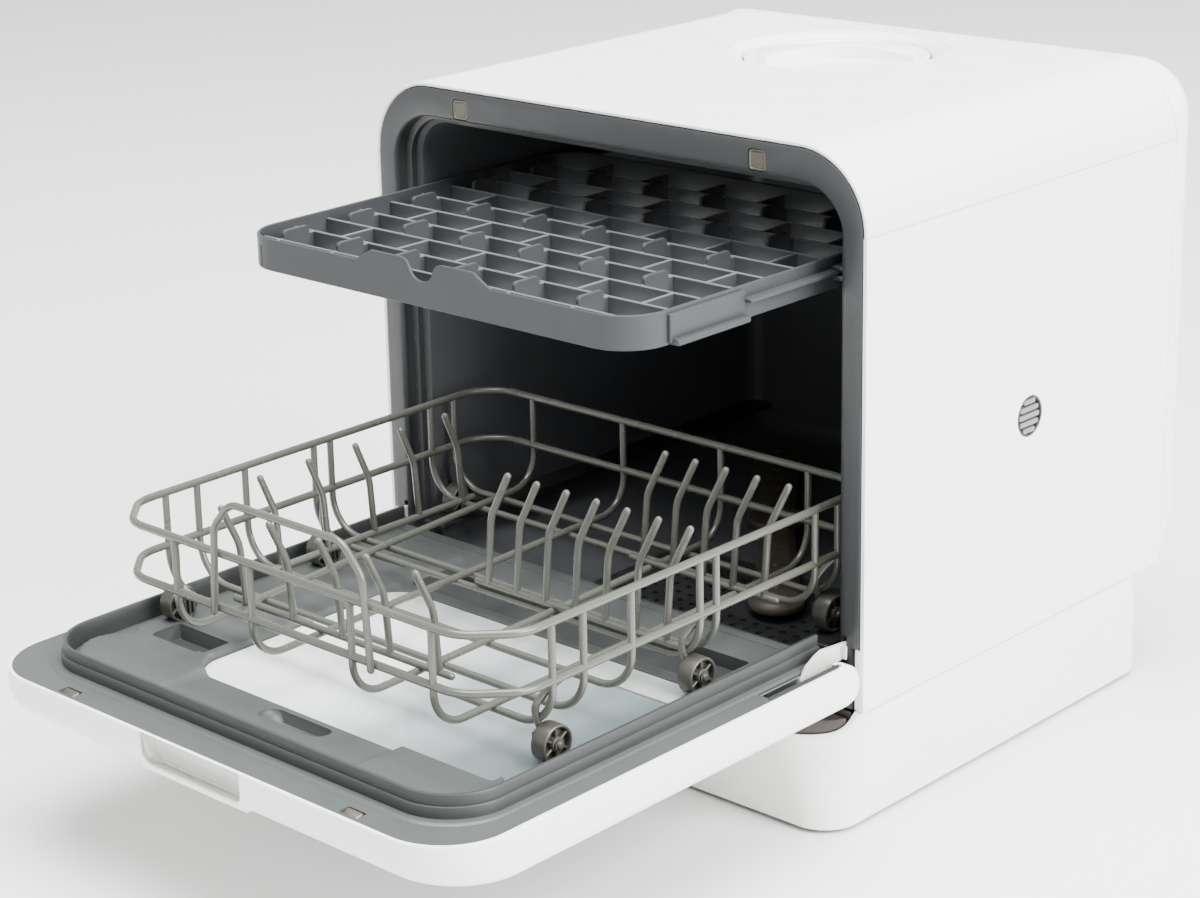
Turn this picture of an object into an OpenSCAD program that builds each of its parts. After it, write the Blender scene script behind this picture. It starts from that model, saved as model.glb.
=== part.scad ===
// Countertop dishwasher with a drop-down door, a wheeled dish basket and a sliding cutlery tray.
// It is drawn in its open, unloading position: the door is level, the basket stands on it and the
// tray is drawn out. Depths are counted from the front frame's face, +Y towards the back, and
// in_place() moves the finished piece so that the origin is the centre of the whole footprint.

/* [Cabinet] */
// Width of the cabinet
body_w = 420; // [400:1:440]
// Height of the cabinet from the table
body_h = 435; // [425:1:460]
// Depth from the front frame to the rear seam
seam_depth = 343; // [335:1:360]
// How far the rear cover bulges past the rear seam
rear_bulge = 43; // [41:1:60]
// Radius of the two long upper edges
top_corner_r = 51; // [44:1:56]
// Wall of the moulded outer shells
shell_wall = 2.5; // [2:0.1:3.5]
// How far the side seam lies below the start of the upper edge's rounding
seam_under = 0.5; // [0.2:0.1:6]

// Gap left open at every seam between shells
seam_gap = 0.4; // [0.2:0.1:1]
// Radius of the rear cover's upper rounding
rear_top_r = 40; // [30:1:42]
// Radius of the rear cover's lower rounding
rear_low_r = 34; // [26:1:40]

/* [Base] */
// Height of the base
base_h = 80; // [76:1:84]
// How far the base stands ahead of the front frame
base_front = 30; // [28:1:34]
// How much the base narrows towards the table on each side
base_draft = 5; // [2:1:8]
// Radius of the base's upright corners
base_corner_r = 48; // [36:1:56]
// Height of the rubber feet below the base
foot_h = 3; // [2:0.5:6]
// Diameter of the rubber feet
foot_d = 30; // [20:1:40]
// Thickness of the base pan
pan_t = 3; // [2:0.5:5]
// How far the base is lowered under the door
sill_drop = 3; // [2:0.5:5]
// Width of the touch strip on the base
strip_w = 200; // [120:1:260]
// Height of the touch strip on the base
strip_h = 26; // [18:1:34]

/* [Front frame and tub] */
// Thickness of the front frame
frame_t = 5; // [4:0.5:8]
// Width of the frame beside the opening
stile_w = 18.5; // [16:0.5:22]

// Height of the frame above the opening
header_h = 23.5; // [21:0.5:27]

// Height of the frame below the opening
sill_h = 4; // [3:0.5:5]

// Radius of the opening's upper corners
opening_r = 33; // [24:1:40]
// How far the tub steps in from the opening on each side
tub_step = 11.5; // [9.5:0.5:12.5]

// How far the tub's roof lies below the opening's top edge
roof_step = 6.5; // [4.5:0.5:13]

// How far the tub's floor lies above the opening's bottom edge
floor_step = 11; // [9:0.5:13]

// Distance from the tub's back wall inside to the back of the cabinet
tub_rear_gap = 15; // [12:0.5:16]

// Wall of the tub
tub_wall = 1.6; // [1:0.1:2.5]
// Radius of the tub's long edges
tub_r = 25; // [15:1:30]
// Depth of the wide lip behind the front frame
lip_depth = 16; // [15.8:0.1:17]

/* [Door] */
// How far the closed door ends below the cabinet's top
door_top_gap = 1; // [0.5:0.5:4]

// Thickness of the door
door_t = 30; // [26:1:31]

// Distance of the hinge axis ahead of the front frame
hinge_front = 22; // [20:0.5:24]
// Height of the hinge axis above the base
hinge_rise = 15; // [14:0.5:17]

// Radius of the hinge pins
pin_r = 3; // [2.5:0.25:3.5]
// How far the door reaches behind its hinge axis
heel_reach = 15.5; // [13:0.5:17]
// Radius of the door's corners
door_r = 46; // [36:1:51]
// Thickness of the door liner
liner_t = 2.5; // [2:0.1:3.5]
// Height of the liner's rim and its seal together
rim_h = 14; // [10:0.5:18]
// Gap between the closed door's rim and the opening on each side
rim_gap = 4.5; // [2.5:0.5:8]

// Gap between the closed door's rim and the opening's top edge
rim_top_gap = 5.5; // [3:0.5:12]

// Wall of the rim
rim_wall = 5; // [4:0.5:8]
// Distance from the window to the rim on each side
window_margin = 29; // [27:0.5:46]

// Distance from the window to the rim in front
window_lead = 65; // [58:1:90]

// Distance of the window's back edge from the front frame
window_back = 50; // [45:1:110]
// Distance of each latch from the middle
latch_x = 127; // [100:1:140]
// Width of the handle recess in the door's front edge
handle_w = 90; // [70:1:110]
// Middle of the handle recess across the door
handle_x = -4; // [-20:1:20]

/* [Dish basket] */
// Gap between the basket's side wires and the tub's walls
basket_gap = 10; // [9:0.5:14]

// Distance from the drawn out basket to the front of the rim
basket_lead = 49; // [45:1:57]

// How much shorter the basket is than the tub behind its lip
basket_spare = 10; // [8:0.5:20]

// Height of the upper rail above the door liner
upper_rail_h = 87.5; // [75:0.5:105]

// Height of the lower rail above the door liner
lower_rail_h = 52; // [43:0.5:60]

// Height of the floor wires above the door liner
floor_wire_h = 21.5; // [19:0.5:27]

// Diameter of the rail wires
rail_d = 5; // [4:0.1:6]
// Diameter of the other wires
wire_d = 4; // [3:0.1:4.5]
// Cut of the basket's corners
basket_chamfer = 27; // [16:1:36]
// Radius of the basket wheels
wheel_r = 12; // [9:0.25:13]
// Width of the basket wheels
wheel_w = 11; // [7:0.5:11]
// Radius of the wheel pins
wheel_pin_r = 3; // [2:0.25:4]
// Running clearance of pins in their bores
pin_gap = 0.05; // [0.02:0.01:0.1]
// Running gap under the wheels
tread_gap = 0.3; // [0.2:0.1:0.5]
// Height of the basket's handle hoop above the upper rail
hoop_h = 36.5; // [26:0.5:55]

// Width of the handle hoop
hoop_w = 138; // [100:1:150]

/* [Cutlery tray] */
// Gap between the tray's walls and the tub's walls
tray_gap = 11; // [10.5:0.5:17]

// Distance of the tray's front from the front frame, when drawn out
tray_front = 163; // [150:1:170]
// Depth of the tray
tray_d = 310; // [296:1:330]
// How far the tray's rim lies below the tub's roof
tray_drop = 42.5; // [37:0.5:47]

// Height of the tray's wall
tray_h = 21; // [18:0.5:24]
// Wall of the tray
tray_wall = 2; // [1.6:0.1:3]
// Radius of the tray's corners
tray_r = 30; // [15:1:40]
// Pitch of the tray's cross slats along its depth
slat_pitch = 29; // [24:0.5:36]
// Pitch of the short slats between them
cell_w = 51.5; // [40:0.5:60]
// Height of the raised lip in the middle of the tray's front
tray_lip_h = 8; // [3:0.5:10]

/* [Filling, washing and drying parts] */
// Distance of the filler's centre from the middle
filler_x = -8; // [-20:1:20]
// Depth of the filler's centre behind the front frame
filler_y = 254; // [240:1:262]
// Radius of the filler's recess
filler_r = 78; // [70:1:80]
// Width of the ledge round the filler cap
cap_ledge = 13.5; // [13:0.5:22]

// Depth of the spray arm's axis
spray_y = 178; // [174:1:184]
// Gap between the spray arm's path and the tub's side walls
spray_gap = 18; // [17:1:60]

// Angle at which the spray arm rests
spray_angle = -52; // [-90:1:90]
// Sideways place of the sump
sump_x = 80; // [72:1:84]
// Depth of the sump behind the front frame
sump_y = 78; // [72:1:84]
// Radius of the filter cup
filter_r = 20; // [15:1:21]
// Depth of the side vent
vent_y = 176; // [140:1:200]
// Height of the side vent
vent_z = 230; // [200:1:260]
// Diameter of the side vent
vent_d = 28; // [22:1:34]

/* [Hidden] */
$fn = 48;
eps = 0.01;
// Sizes that follow from the ones above and their clearances
rear_y = seam_depth + rear_bulge;
side_seam_z = body_h - top_corner_r - seam_under;
opening_w = body_w - 2 * stile_w;
opening_top = body_h - header_h;
opening_low = base_h + sill_h;
tub_w = opening_w - 2 * tub_step;
tub_top = opening_top - roof_step;
tub_floor = opening_low + floor_step;
tub_back = rear_y - tub_rear_gap;
hinge_z = base_h + hinge_rise;
liner_z = hinge_z + hinge_front;
door_reach = body_h - door_top_gap - liner_z + 2 * hinge_front;
rim_w = opening_w - 2 * rim_gap;
rim_front = opening_top - rim_top_gap - liner_z + 2 * hinge_front;
window_w = rim_w - 2 * window_margin;
window_front = rim_front - window_lead;
basket_w = tub_w - 2 * basket_gap;
basket_front = rim_front - basket_lead;
basket_d = tub_back - lip_depth - basket_spare;
rail_top_z = liner_z + upper_rail_h;
rail_low_z = liner_z + lower_rail_h;
basket_floor_z = liner_z + floor_wire_h;
hoop_top_z = rail_top_z + hoop_h;
tray_w = tub_w - 2 * tray_gap;
tray_top_z = tub_top - tray_drop;
cap_r = filler_r - cap_ledge;
spray_reach = tub_w / 2 - spray_gap;
// Clearance between pieces of the cabinet that only lie beside each other
fit_gap = 0.2;
origin_y = (rear_y - door_reach) / 2;
half_w = body_w / 2;

// Moves a piece from depths behind the front frame to the footprint's centre
module in_place() translate([0, -origin_y, 0]) children();

// Carries an upright outline (x, z) along the depth from y0 to y1
module along_y(y0, y1) translate([0, y1, 0]) rotate([90, 0, 0]) linear_extrude(y1 - y0) children();

// Upright outline with square lower corners and rounded upper ones
module arch_2d(w, z0, z1, r) {
    translate([-w / 2, z0]) square([w, z1 - r - z0]);
    translate([-w / 2 + r, z0]) square([w - 2 * r, z1 - z0]);
    for (side = [-1, 1]) translate([side * (w / 2 - r), z1 - r]) circle(r);
}

// Upright outline with four rounded corners
module ring_2d(w, z0, z1, r) {
    translate([-w / 2, z0 + r]) square([w, z1 - z0 - 2 * r]);
    translate([-w / 2 + r, z0]) square([w - 2 * r, z1 - z0]);
    for (side = [-1, 1], z = [z0 + r, z1 - r]) translate([side * (w / 2 - r), z]) circle(r);
}

// Flat outline from y0 to y1 with four rounded corners
module plan_2d(w, y0, y1, r) ring_2d(w, y0, y1, r);

// A straight eight-sided wire between two points, a little longer than their distance so that
// wires weld. Its turn follows its rise, so that no flat sides of neighbouring wires coincide
module wire(a, b, d = wire_d) {
    run = b - a;
    len = norm(run);
    weld = d * 0.2;
    turn = 22.5 + run[2] * 0.13;
    translate(a) rotate([0, acos(run[2] / len), atan2(run[1], run[0])])
        translate([0, 0, -weld]) rotate(turn) cylinder(d = d, h = len + 2 * weld, $fn = 8);
}

// A chain of straight wires through the points
module wires(points, d = wire_d) for (i = [0 : len(points) - 2]) wire(points[i], points[i + 1], d);

// ---------------------------------------------------------------- base
foot_x = half_w - 45;
foot_ys = [10, seam_depth - 35];
foot_stem_d = 10;
base_rear = seam_depth + 2;
pan_z = foot_h;
pan_top = foot_h + pan_t;
deck_t = 5.5;

// Solid of the base, drawn in by the inset, with its draft
module base_body(inset, z0, z1) {
    hull() {
        translate([0, 0, z0]) linear_extrude(eps) plan_2d(body_w - 2 * (inset + base_draft),
            -base_front + inset + base_draft, base_rear - inset - base_draft, base_corner_r - inset, $fn = 32);
        translate([0, 0, z1 - eps]) linear_extrude(eps) plan_2d(body_w - 2 * inset,
            -base_front + inset, base_rear - inset, base_corner_r - inset, $fn = 32);
    }
}

module strip_window(gap) {
    translate([-strip_w / 2 + gap, -base_front - 5, (base_h - strip_h) / 2 + gap])
        cube([strip_w - 2 * gap, 20, strip_h - 2 * gap]);
}

connector_r = 10;
connector_xs = [-120, -80];
connector_z = 38;
inlet_x = 130;
inlet_r = 9;

// Places its children on the axis of each opening in the base's rear wall
module at_rear_ports() {
    for (x = connector_xs) translate([x, 0, connector_z]) rotate([-90, 0, 0]) children(0);
    translate([inlet_x, 0, connector_z]) rotate([-90, 0, 0]) children(1);
}

module base_shell() color([0.9, 0.9, 0.88]) in_place() difference() {
    base_body(0, foot_h, base_h);
    difference() {
        base_body(shell_wall, foot_h - eps, base_h);
        translate([-half_w, -base_front, base_h - deck_t]) cube([body_w, 2 * body_w, deck_t + 1]);
    }
    translate([-half_w + 24, frame_t + 6, base_h - deck_t - 1])
        cube([body_w - 48, base_rear - frame_t - 30, deck_t + 2]);
    translate([-half_w - 1, -base_front - 1, base_h - sill_drop])
        cube([body_w + 2, base_front + 1 - seam_gap, sill_drop + 1]);
    strip_window(0);
    arm_slots(base_h - deck_t - 1, base_h + 1);
    translate([0, base_rear - 25, 0]) at_rear_ports() {
        cylinder(r = connector_r + fit_gap, h = 40);
        cylinder(r = inlet_r + fit_gap, h = 40);
    }
}

module base_pan() color([0.25, 0.26, 0.27]) in_place() difference() {
    translate([0, 0, pan_z]) linear_extrude(pan_t) plan_2d(
        body_w - 2 * (shell_wall + base_draft + fit_gap), -base_front + shell_wall + base_draft + fit_gap,
        base_rear - shell_wall - base_draft - fit_gap, base_corner_r - shell_wall - fit_gap);
    for (side = [-1, 1], y = foot_ys) translate([side * foot_x, y, pan_z - 1])
        cylinder(d = foot_stem_d + 2 * fit_gap, h = pan_t + 2);
}

module feet() color([0.12, 0.12, 0.12]) in_place() for (side = [-1, 1], y = foot_ys) {
    translate([side * foot_x, y, 0]) {
        cylinder(d = foot_d, h = foot_h);
        cylinder(d = foot_stem_d, h = pan_top);
    }
}

module control_strip() color([0.08, 0.08, 0.09]) in_place() difference() {
    intersection() {
        base_body(0, foot_h, base_h);
        strip_window(fit_gap);
    }
    base_body(shell_wall, foot_h - eps, base_h + eps);
}

module control_board() color([0.1, 0.35, 0.2]) in_place() {
    board_y = -base_front + base_draft + shell_wall + 4;
    translate([-strip_w / 2, board_y, pan_top]) cube([strip_w, 1.6, base_h - deck_t - pan_top - 4]);
    for (x = [-strip_w / 2 + 6, strip_w / 2 - 16]) translate([x, board_y, pan_top]) cube([10, 8, 3]);
}

// ---------------------------------------------------------------- cabinet shells
side_t = shell_wall;

module top_shell() color([0.93, 0.93, 0.92]) in_place() difference() {
    along_y(seam_gap, seam_depth) difference() {
        arch_2d(body_w, 0, body_h, top_corner_r);
        arch_2d(body_w - 2 * shell_wall, -1, body_h - shell_wall, top_corner_r - shell_wall);
        translate([-body_w, -2]) square([2 * body_w, side_seam_z + 2]);
    }
    translate([filler_x, filler_y, body_h - shell_wall - 1]) cylinder(r = filler_r + fit_gap, h = 5);
}

module side_plate() {
    translate([-half_w, seam_gap, base_h + seam_gap])
        cube([side_t, seam_depth - seam_gap, side_seam_z - base_h - 2 * seam_gap]);
}

module side_panel_left() color([0.93, 0.93, 0.92]) in_place() side_plate();

module side_panel_right() color([0.93, 0.93, 0.92]) in_place() difference() {
    mirror([1, 0, 0]) side_plate();
    translate([half_w - side_t - 1, vent_y, vent_z]) rotate([0, 90, 0]) cylinder(d = vent_d, h = side_t + 2);
}

vent_slats = 5;
vent_ring = 2;

module side_vent_grille() color([0.35, 0.36, 0.37]) in_place()
    translate([half_w - side_t, vent_y, vent_z]) rotate([0, 90, 0]) {
        difference() {
            cylinder(d = vent_d - 2 * fit_gap, h = side_t);
            translate([0, 0, -1]) cylinder(d = vent_d - 2 * fit_gap - 2 * vent_ring, h = side_t + 2);
        }
        intersection() {
            cylinder(d = vent_d - 2 * fit_gap - vent_ring, h = side_t);
            for (i = [0 : vent_slats - 1]) rotate(-25)
                translate([(i - (vent_slats - 1) / 2) * (vent_d - 4) / vent_slats - 0.8, -vent_d / 2, 0.3])
                    cube([1.6, vent_d, side_t - 0.6]);
        }
    }

// Solid of the rear cover, drawn in by the inset
module rear_body(inset, start) hull() {
    along_y(start, start + 1) intersection() {
        arch_2d(body_w - 2 * inset, base_h + seam_gap + inset, body_h - inset, top_corner_r - inset, $fn = 40);
        translate([-body_w, 0]) square([2 * body_w, 2 * body_h]);
    }
    for (side = [-1, 1]) {
        translate([side * (half_w - rear_top_r), rear_y - rear_top_r, body_h - rear_top_r])
            sphere(rear_top_r - inset, $fn = 32);
        translate([side * (half_w - rear_low_r), rear_y - rear_low_r, base_h + seam_gap + rear_low_r])
            sphere(rear_low_r - inset, $fn = 32);
    }
}

screw_inset = 70;
screw_x = half_w - screw_inset;
screw_zs = [base_h + 50, body_h - 55];
screw_head_r = 4;

module at_rear_screws() for (side = [-1, 1], z = screw_zs)
    translate([side * screw_x, 0, z]) rotate([-90, 0, 0]) children();

module rear_cover() color([0.92, 0.92, 0.91]) in_place() difference() {
    intersection() {
        rear_body(0, seam_depth + seam_gap);
        translate([-body_w, seam_depth + seam_gap, 0]) cube([2 * body_w, rear_bulge, 2 * body_h]);
    }
    rear_body(shell_wall, seam_depth - 2);
    translate([0, rear_y - 12, 0]) at_rear_screws() cylinder(r = screw_head_r + fit_gap, h = 20);
}

module rear_screws() color([0.7, 0.7, 0.72]) in_place() {
    translate([0, rear_y - shell_wall, 0]) at_rear_screws() cylinder(r = screw_head_r, h = 2);
    translate([0, tub_back + tub_wall, 0]) at_rear_screws() cylinder(r = 1.8, h = rear_y - shell_wall - tub_back - tub_wall + 1);
}

// ---------------------------------------------------------------- front frame and tub
frame_w = body_w - 2 * (shell_wall + fit_gap);
catch_w = 13;
catch_drop = 15;
catch_z = body_h - catch_drop;
arm_t = 2.6;
arm_x = opening_w / 2 + 4;
cheek_t = 2;
cheek_gap = 0.5;
cheek_in = arm_x - arm_t / 2 - cheek_gap - cheek_t;
cheek_out = arm_x + arm_t / 2 + cheek_gap;
ear_top = liner_z + 9.5;

// Slots through which the door's hinge arms swing down behind the front frame
module arm_slots(z0, z1) for (side = [-1, 1])
    translate([side * arm_x - arm_t / 2 - fit_gap, -hinge_front + 8, z0])
        cube([arm_t + 2 * fit_gap, hinge_front + 24, z1 - z0]);

module front_frame() color([0.41, 0.415, 0.42]) in_place() difference() {
    along_y(0, frame_t) difference() {
        arch_2d(frame_w, base_h + seam_gap, body_h - shell_wall - fit_gap, top_corner_r - shell_wall - fit_gap);
        ring_2d(opening_w, opening_low, opening_top, opening_r);
    }
    for (side = [-1, 1]) {
        translate([side * latch_x - catch_w / 2 - fit_gap, -1, catch_z - catch_w / 2 - fit_gap])
            cube([catch_w + 2 * fit_gap, 3, catch_w + 2 * fit_gap]);
    }
    arm_slots(base_h, ear_top + 2);
}

module frame_catch_plates() color([0.6, 0.58, 0.54]) in_place() for (side = [-1, 1])
    translate([side * latch_x - catch_w / 2, 0, catch_z - catch_w / 2]) difference() {
        cube([catch_w, 2, catch_w]);
        translate([3, -1, 3]) cube([catch_w - 6, 2, catch_w - 6]);
    }

duct_hole_r = 15;
feed_r = 9;

module tub() color([0.1, 0.1, 0.105]) in_place() difference() {
    union() {
        along_y(frame_t, lip_depth) ring_2d(opening_w + 2 * tub_wall, opening_low - tub_wall,
            opening_top + tub_wall, opening_r + tub_wall);
        along_y(lip_depth - tub_wall, tub_back + tub_wall) ring_2d(tub_w + 2 * tub_wall,
            tub_floor - tub_wall, tub_top + tub_wall, tub_r + tub_wall);
    }
    along_y(frame_t - 1, lip_depth - tub_wall) ring_2d(opening_w, opening_low, opening_top, opening_r);
    along_y(frame_t - 1, tub_back) ring_2d(tub_w, tub_floor, tub_top, tub_r);
    translate([sump_x, sump_y, tub_floor - 5]) cylinder(r = sump_r, h = 10);
    translate([0, spray_y, tub_floor - 5]) cylinder(r = feed_r + fit_gap, h = 10);
    translate([tub_w / 2 - 5, vent_y, vent_z]) rotate([0, 90, 0]) cylinder(r = duct_hole_r, h = 12);
}

gasket_d = 4;

module tub_gasket() color([0.06, 0.06, 0.06]) in_place()
    along_y(lip_depth - tub_wall - gasket_d, lip_depth - tub_wall) difference() {
        ring_2d(opening_w - 1, opening_low + 0.5, opening_top - 0.5, opening_r - 0.5);
        ring_2d(opening_w - 11, opening_low + 3.5, opening_top - 4, opening_r - 4);
    }

rail_reach = 8;
tray_flange_z = tray_top_z - 10;
tray_flange_t = 2.5;
rail_t = 3;
rail_gap = 0.3;
track_w = 20;
track_t = 4;

track_front = 2;

// A bar along the tub's side wall from depth y to the back wall
module wall_bar(side, reach, y, z, t) translate([side > 0 ? tub_w / 2 - reach : -tub_w / 2, y, z])
    cube([reach, tub_back - y, t]);

// The tray's rails above and below its flange, and the tracks that the basket's wheels run on
module tub_rails() color([0.2, 0.2, 0.21]) in_place() intersection() {
    along_y(0, tub_back) ring_2d(tub_w, tub_floor, tub_top, tub_r);
    for (side = [-1, 1]) {
        wall_bar(side, rail_reach, lip_depth, tray_flange_z - rail_gap - rail_t, rail_t);
        wall_bar(side, rail_reach, lip_depth, tray_flange_z + tray_flange_t + rail_gap, rail_t);
        wall_bar(side, track_w, track_front, liner_z - track_t, track_t);
    }
}

// ---------------------------------------------------------------- washing parts
sump_wall = 2.5;
sump_r = filter_r + 3;
sump_z = 30;
filter_top = tub_floor + 3;

module at_sump() translate([sump_x, sump_y, 0]) children();

module sump() color([0.2, 0.2, 0.21]) in_place() at_sump() difference() {
    union() {
        translate([0, 0, sump_z]) cylinder(r = sump_r + sump_wall, h = tub_floor - tub_wall - sump_z);
        translate([0, 0, tub_floor - tub_wall - 3]) cylinder(r = sump_r + 8, h = 3);
    }
    translate([0, 0, sump_z + sump_wall]) cylinder(r = sump_r, h = tub_floor);
}

mesh_t = 2;
mesh_margin = 3;
mesh_x = [sump_x - 120, tub_w / 2 - tub_r - mesh_margin];
mesh_y = [lip_depth + 3, 124];
mesh_hole_r = 2.6;
mesh_pitch = 11;

module filter_mesh() color([0.5, 0.5, 0.51]) in_place() difference() {
    translate([(mesh_x[0] + mesh_x[1]) / 2, 0, tub_floor]) linear_extrude(mesh_t)
        plan_2d(mesh_x[1] - mesh_x[0], mesh_y[0], mesh_y[1], 14);
    translate([sump_x, sump_y, tub_floor - 1]) cylinder(r = filter_r + 0.5, h = mesh_t + 2);
    for (x = [mesh_x[0] + 12 : mesh_pitch : mesh_x[1] - 9], y = [mesh_y[0] + 10 : mesh_pitch : mesh_y[1] - 8])
        if (norm([x - sump_x, y - sump_y]) > sump_r + 7) translate([x, y, tub_floor - 1])
            cylinder(r = mesh_hole_r, h = mesh_t + 2, $fn = 6);
}

cup_wall = 2;
cup_floor = sump_z + sump_wall + 0.3;

module filter_cup() color([0.6, 0.57, 0.5]) in_place() at_sump() {
    difference() {
        translate([0, 0, cup_floor]) cylinder(r = filter_r, h = filter_top - cup_floor);
        translate([0, 0, cup_floor + cup_wall]) cylinder(r = filter_r - cup_wall, h = filter_top);
    }
    for (a = [0 : 45 : 135]) rotate(a) translate([-filter_r + 1, -1, filter_top - 3])
        cube([2 * filter_r - 2, 2, 3]);
    translate([0, 0, filter_top - 3]) cylinder(r = 8, h = 5);
    translate([-13, -2, filter_top - 1]) cube([26, 4, 3.5]);
}

arm_z = 102.5;
arm_h = 9.5;
stud_r = 8;

module spray_feed() color([0.2, 0.2, 0.21]) in_place() translate([0, spray_y, 0]) difference() {
    union() {
        translate([0, 0, 52]) cylinder(r = feed_r, h = arm_z - fit_gap - 52);
        translate([0, 0, tub_floor - tub_wall - 3]) cylinder(r = feed_r + 5, h = 3);
        translate([0, 0, 52]) cylinder(r = stud_r, h = arm_z + 6.5 - 52);
    }
    translate([0, 0, 51]) cylinder(r = stud_r - 3, h = 80);
}

module spray_arm() color([0.72, 0.69, 0.62]) in_place() translate([0, spray_y, 0]) rotate(spray_angle)
    difference() {
        union() {
            translate([0, 0, arm_z]) cylinder(r = 17, h = arm_h);
            translate([0, 0, arm_z + 2]) linear_extrude(arm_h - 4) for (s = [-1, 1]) {
                polygon([[0, -14], [s * (spray_reach - 9), -9], [s * (spray_reach - 9), 9], [0, 14]]);
                translate([s * (spray_reach - 9), 0]) circle(9);
            }
        }
        translate([0, 0, arm_z - 1]) cylinder(r = stud_r + pin_gap, h = 8);
        for (x = [-138, -112, -84, -50, 36, 64, 96, 126]) translate([x, 0, arm_z + 5])
            cylinder(r = 1.5, h = arm_h);
    }

module wash_pump() color([0.3, 0.31, 0.33]) in_place() {
    translate([-110, spray_y, 34]) rotate([0, 90, 0]) cylinder(r = 24, h = 84);
    translate([-26, spray_y, 34]) rotate([0, 90, 0]) cylinder(r = 17, h = 12);
    translate([-26, spray_y - 22, 12]) cube([52, 44, 40]);
    translate([-100, spray_y - 16, pan_top]) cube([66, 32, 14]);
}

module drain_pump() color([0.28, 0.29, 0.3]) in_place() {
    motor_r = 14;
    translate([sump_x - 16, sump_y - 16, pan_top]) cube([32, 32, sump_z - pan_top - fit_gap]);
    translate([sump_x + 16, sump_y, pan_top + motor_r]) rotate([0, 90, 0]) cylinder(r = 8, h = 14);
    translate([sump_x + 28, sump_y, pan_top + motor_r]) rotate([0, 90, 0]) cylinder(r = motor_r, h = 40);
}

module water_heater() color([0.68, 0.69, 0.7]) in_place() {
    heater_z = 42;
    translate([-100, sump_y, heater_z]) rotate([0, 90, 0]) cylinder(r = 17, h = 115);
    for (x = [-92, 0]) translate([x, sump_y - 16, pan_top]) cube([10, 32, heater_z - 12 - pan_top]);
    translate([15, sump_y, heater_z]) rotate([0, 90, 0])
        cylinder(r = 8, h = sump_x - sump_r - sump_wall - 15 - fit_gap);
}

fan_size = 40;
fan_t = 18;
fan_x = half_w - side_t - fan_t;
rotor_gap = 1;

module at_vent(x) translate([x, vent_y, vent_z]) rotate([0, 90, 0]) children();

module fan_duct() color([0.22, 0.22, 0.23]) in_place() difference() {
    translate([tub_w / 2 + tub_wall, vent_y - fan_size / 2, vent_z - fan_size / 2])
        cube([fan_x - tub_w / 2 - tub_wall, fan_size, fan_size]);
    at_vent(tub_w / 2) cylinder(r = duct_hole_r, h = fan_t + 20);
}

module fan_housing() color([0.1, 0.1, 0.1]) in_place() difference() {
    translate([fan_x, vent_y - fan_size / 2, vent_z - fan_size / 2]) cube([fan_t, fan_size, fan_size]);
    difference() {
        at_vent(fan_x - 1) cylinder(r = fan_size / 2 - 2, h = fan_t + 2);
        at_vent(fan_x) cylinder(r = 8, h = 3);
        for (a = [0, 90]) at_vent(fan_x) rotate(a) translate([-fan_size / 2, -1.5, 0]) cube([fan_size, 3, 2]);
        at_vent(fan_x) cylinder(r = 2, h = 10);
    }
}

module fan_rotor() color([0.15, 0.15, 0.16]) in_place() at_vent(fan_x + 3.3) difference() {
    union() {
        cylinder(r = 7.5, h = 9);
        for (a = [0 : 72 : 359]) rotate([0, 0, a]) translate([7, -0.8, 1]) cube([fan_size / 2 - 2 - 7 - rotor_gap, 1.6, 7]);
    }
    translate([0, 0, -1]) cylinder(r = 2 + pin_gap, h = 8);
}

// ---------------------------------------------------------------- filling parts
bowl_floor = tub_top + tub_wall + 6;
bowl_t = 2.5;
cap_top = body_h - 4;
cap_t = 4;
plug_r = 40;
stub_r = 6;
pipe_r = 6;
pipe_z = bowl_floor + bowl_t + pipe_r;
pipe_x = half_w - 16;

module at_filler() translate([filler_x, filler_y, 0]) children();

module fill_funnel() color([0.88, 0.88, 0.87]) in_place() difference() {
    at_filler() difference() {
        translate([0, 0, bowl_floor]) cylinder(r = filler_r, h = body_h - bowl_floor);
        translate([0, 0, cap_top - cap_t - 0.5]) cylinder(r = cap_r + 2, h = 20);
        translate([0, 0, cap_top]) cylinder(r1 = cap_r + 2, r2 = filler_r - 2, h = body_h - cap_top + eps);
        translate([0, 0, bowl_floor + bowl_t]) cylinder(r = plug_r + 2.5, h = 30);
    }
    translate([filler_x + plug_r, filler_y, pipe_z]) rotate([0, 90, 0]) cylinder(r = 4, h = filler_r);
}

module fill_pipe() color([0.75, 0.76, 0.78]) in_place() {
    start = [filler_x + filler_r + fit_gap, filler_y, pipe_z];
    turn_a = [pipe_x - 24, filler_y, pipe_z];
    turn_b = [pipe_x, filler_y, pipe_z - 24];
    foot = [pipe_x, filler_y, base_h + 4];
    for (leg = [[start, turn_a], [turn_a, turn_b], [turn_b, foot]]) {
        run = leg[1] - leg[0];
        translate(leg[0]) rotate([0, acos(run[2] / norm(run)), atan2(run[1], run[0])])
            cylinder(r = pipe_r, h = norm(run));
    }
    for (turn = [turn_a, turn_b]) translate(turn) sphere(pipe_r + 0.6);
    translate([pipe_x - 9, filler_y - 9, base_h]) cube([18, 18, 4]);
}

// The plug lifts with its seal; the cap turns on the plug's stub
module cap_plug() color([0.8, 0.8, 0.79]) in_place() at_filler() {
    translate([0, 0, bowl_floor + bowl_t + 2]) cylinder(r = plug_r - 1, h = cap_top - cap_t - 0.3 - bowl_floor - bowl_t - 2);
    translate([0, 0, cap_top - cap_t - 0.5]) cylinder(r = stub_r, h = 3);
}

module cap_seal() color([0.15, 0.15, 0.15]) in_place() at_filler() difference() {
    translate([0, 0, bowl_floor + bowl_t + 4]) cylinder(r = plug_r + 2, h = 4);
    translate([0, 0, bowl_floor + bowl_t + 3]) cylinder(r = plug_r - 1, h = 6);
}

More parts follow.
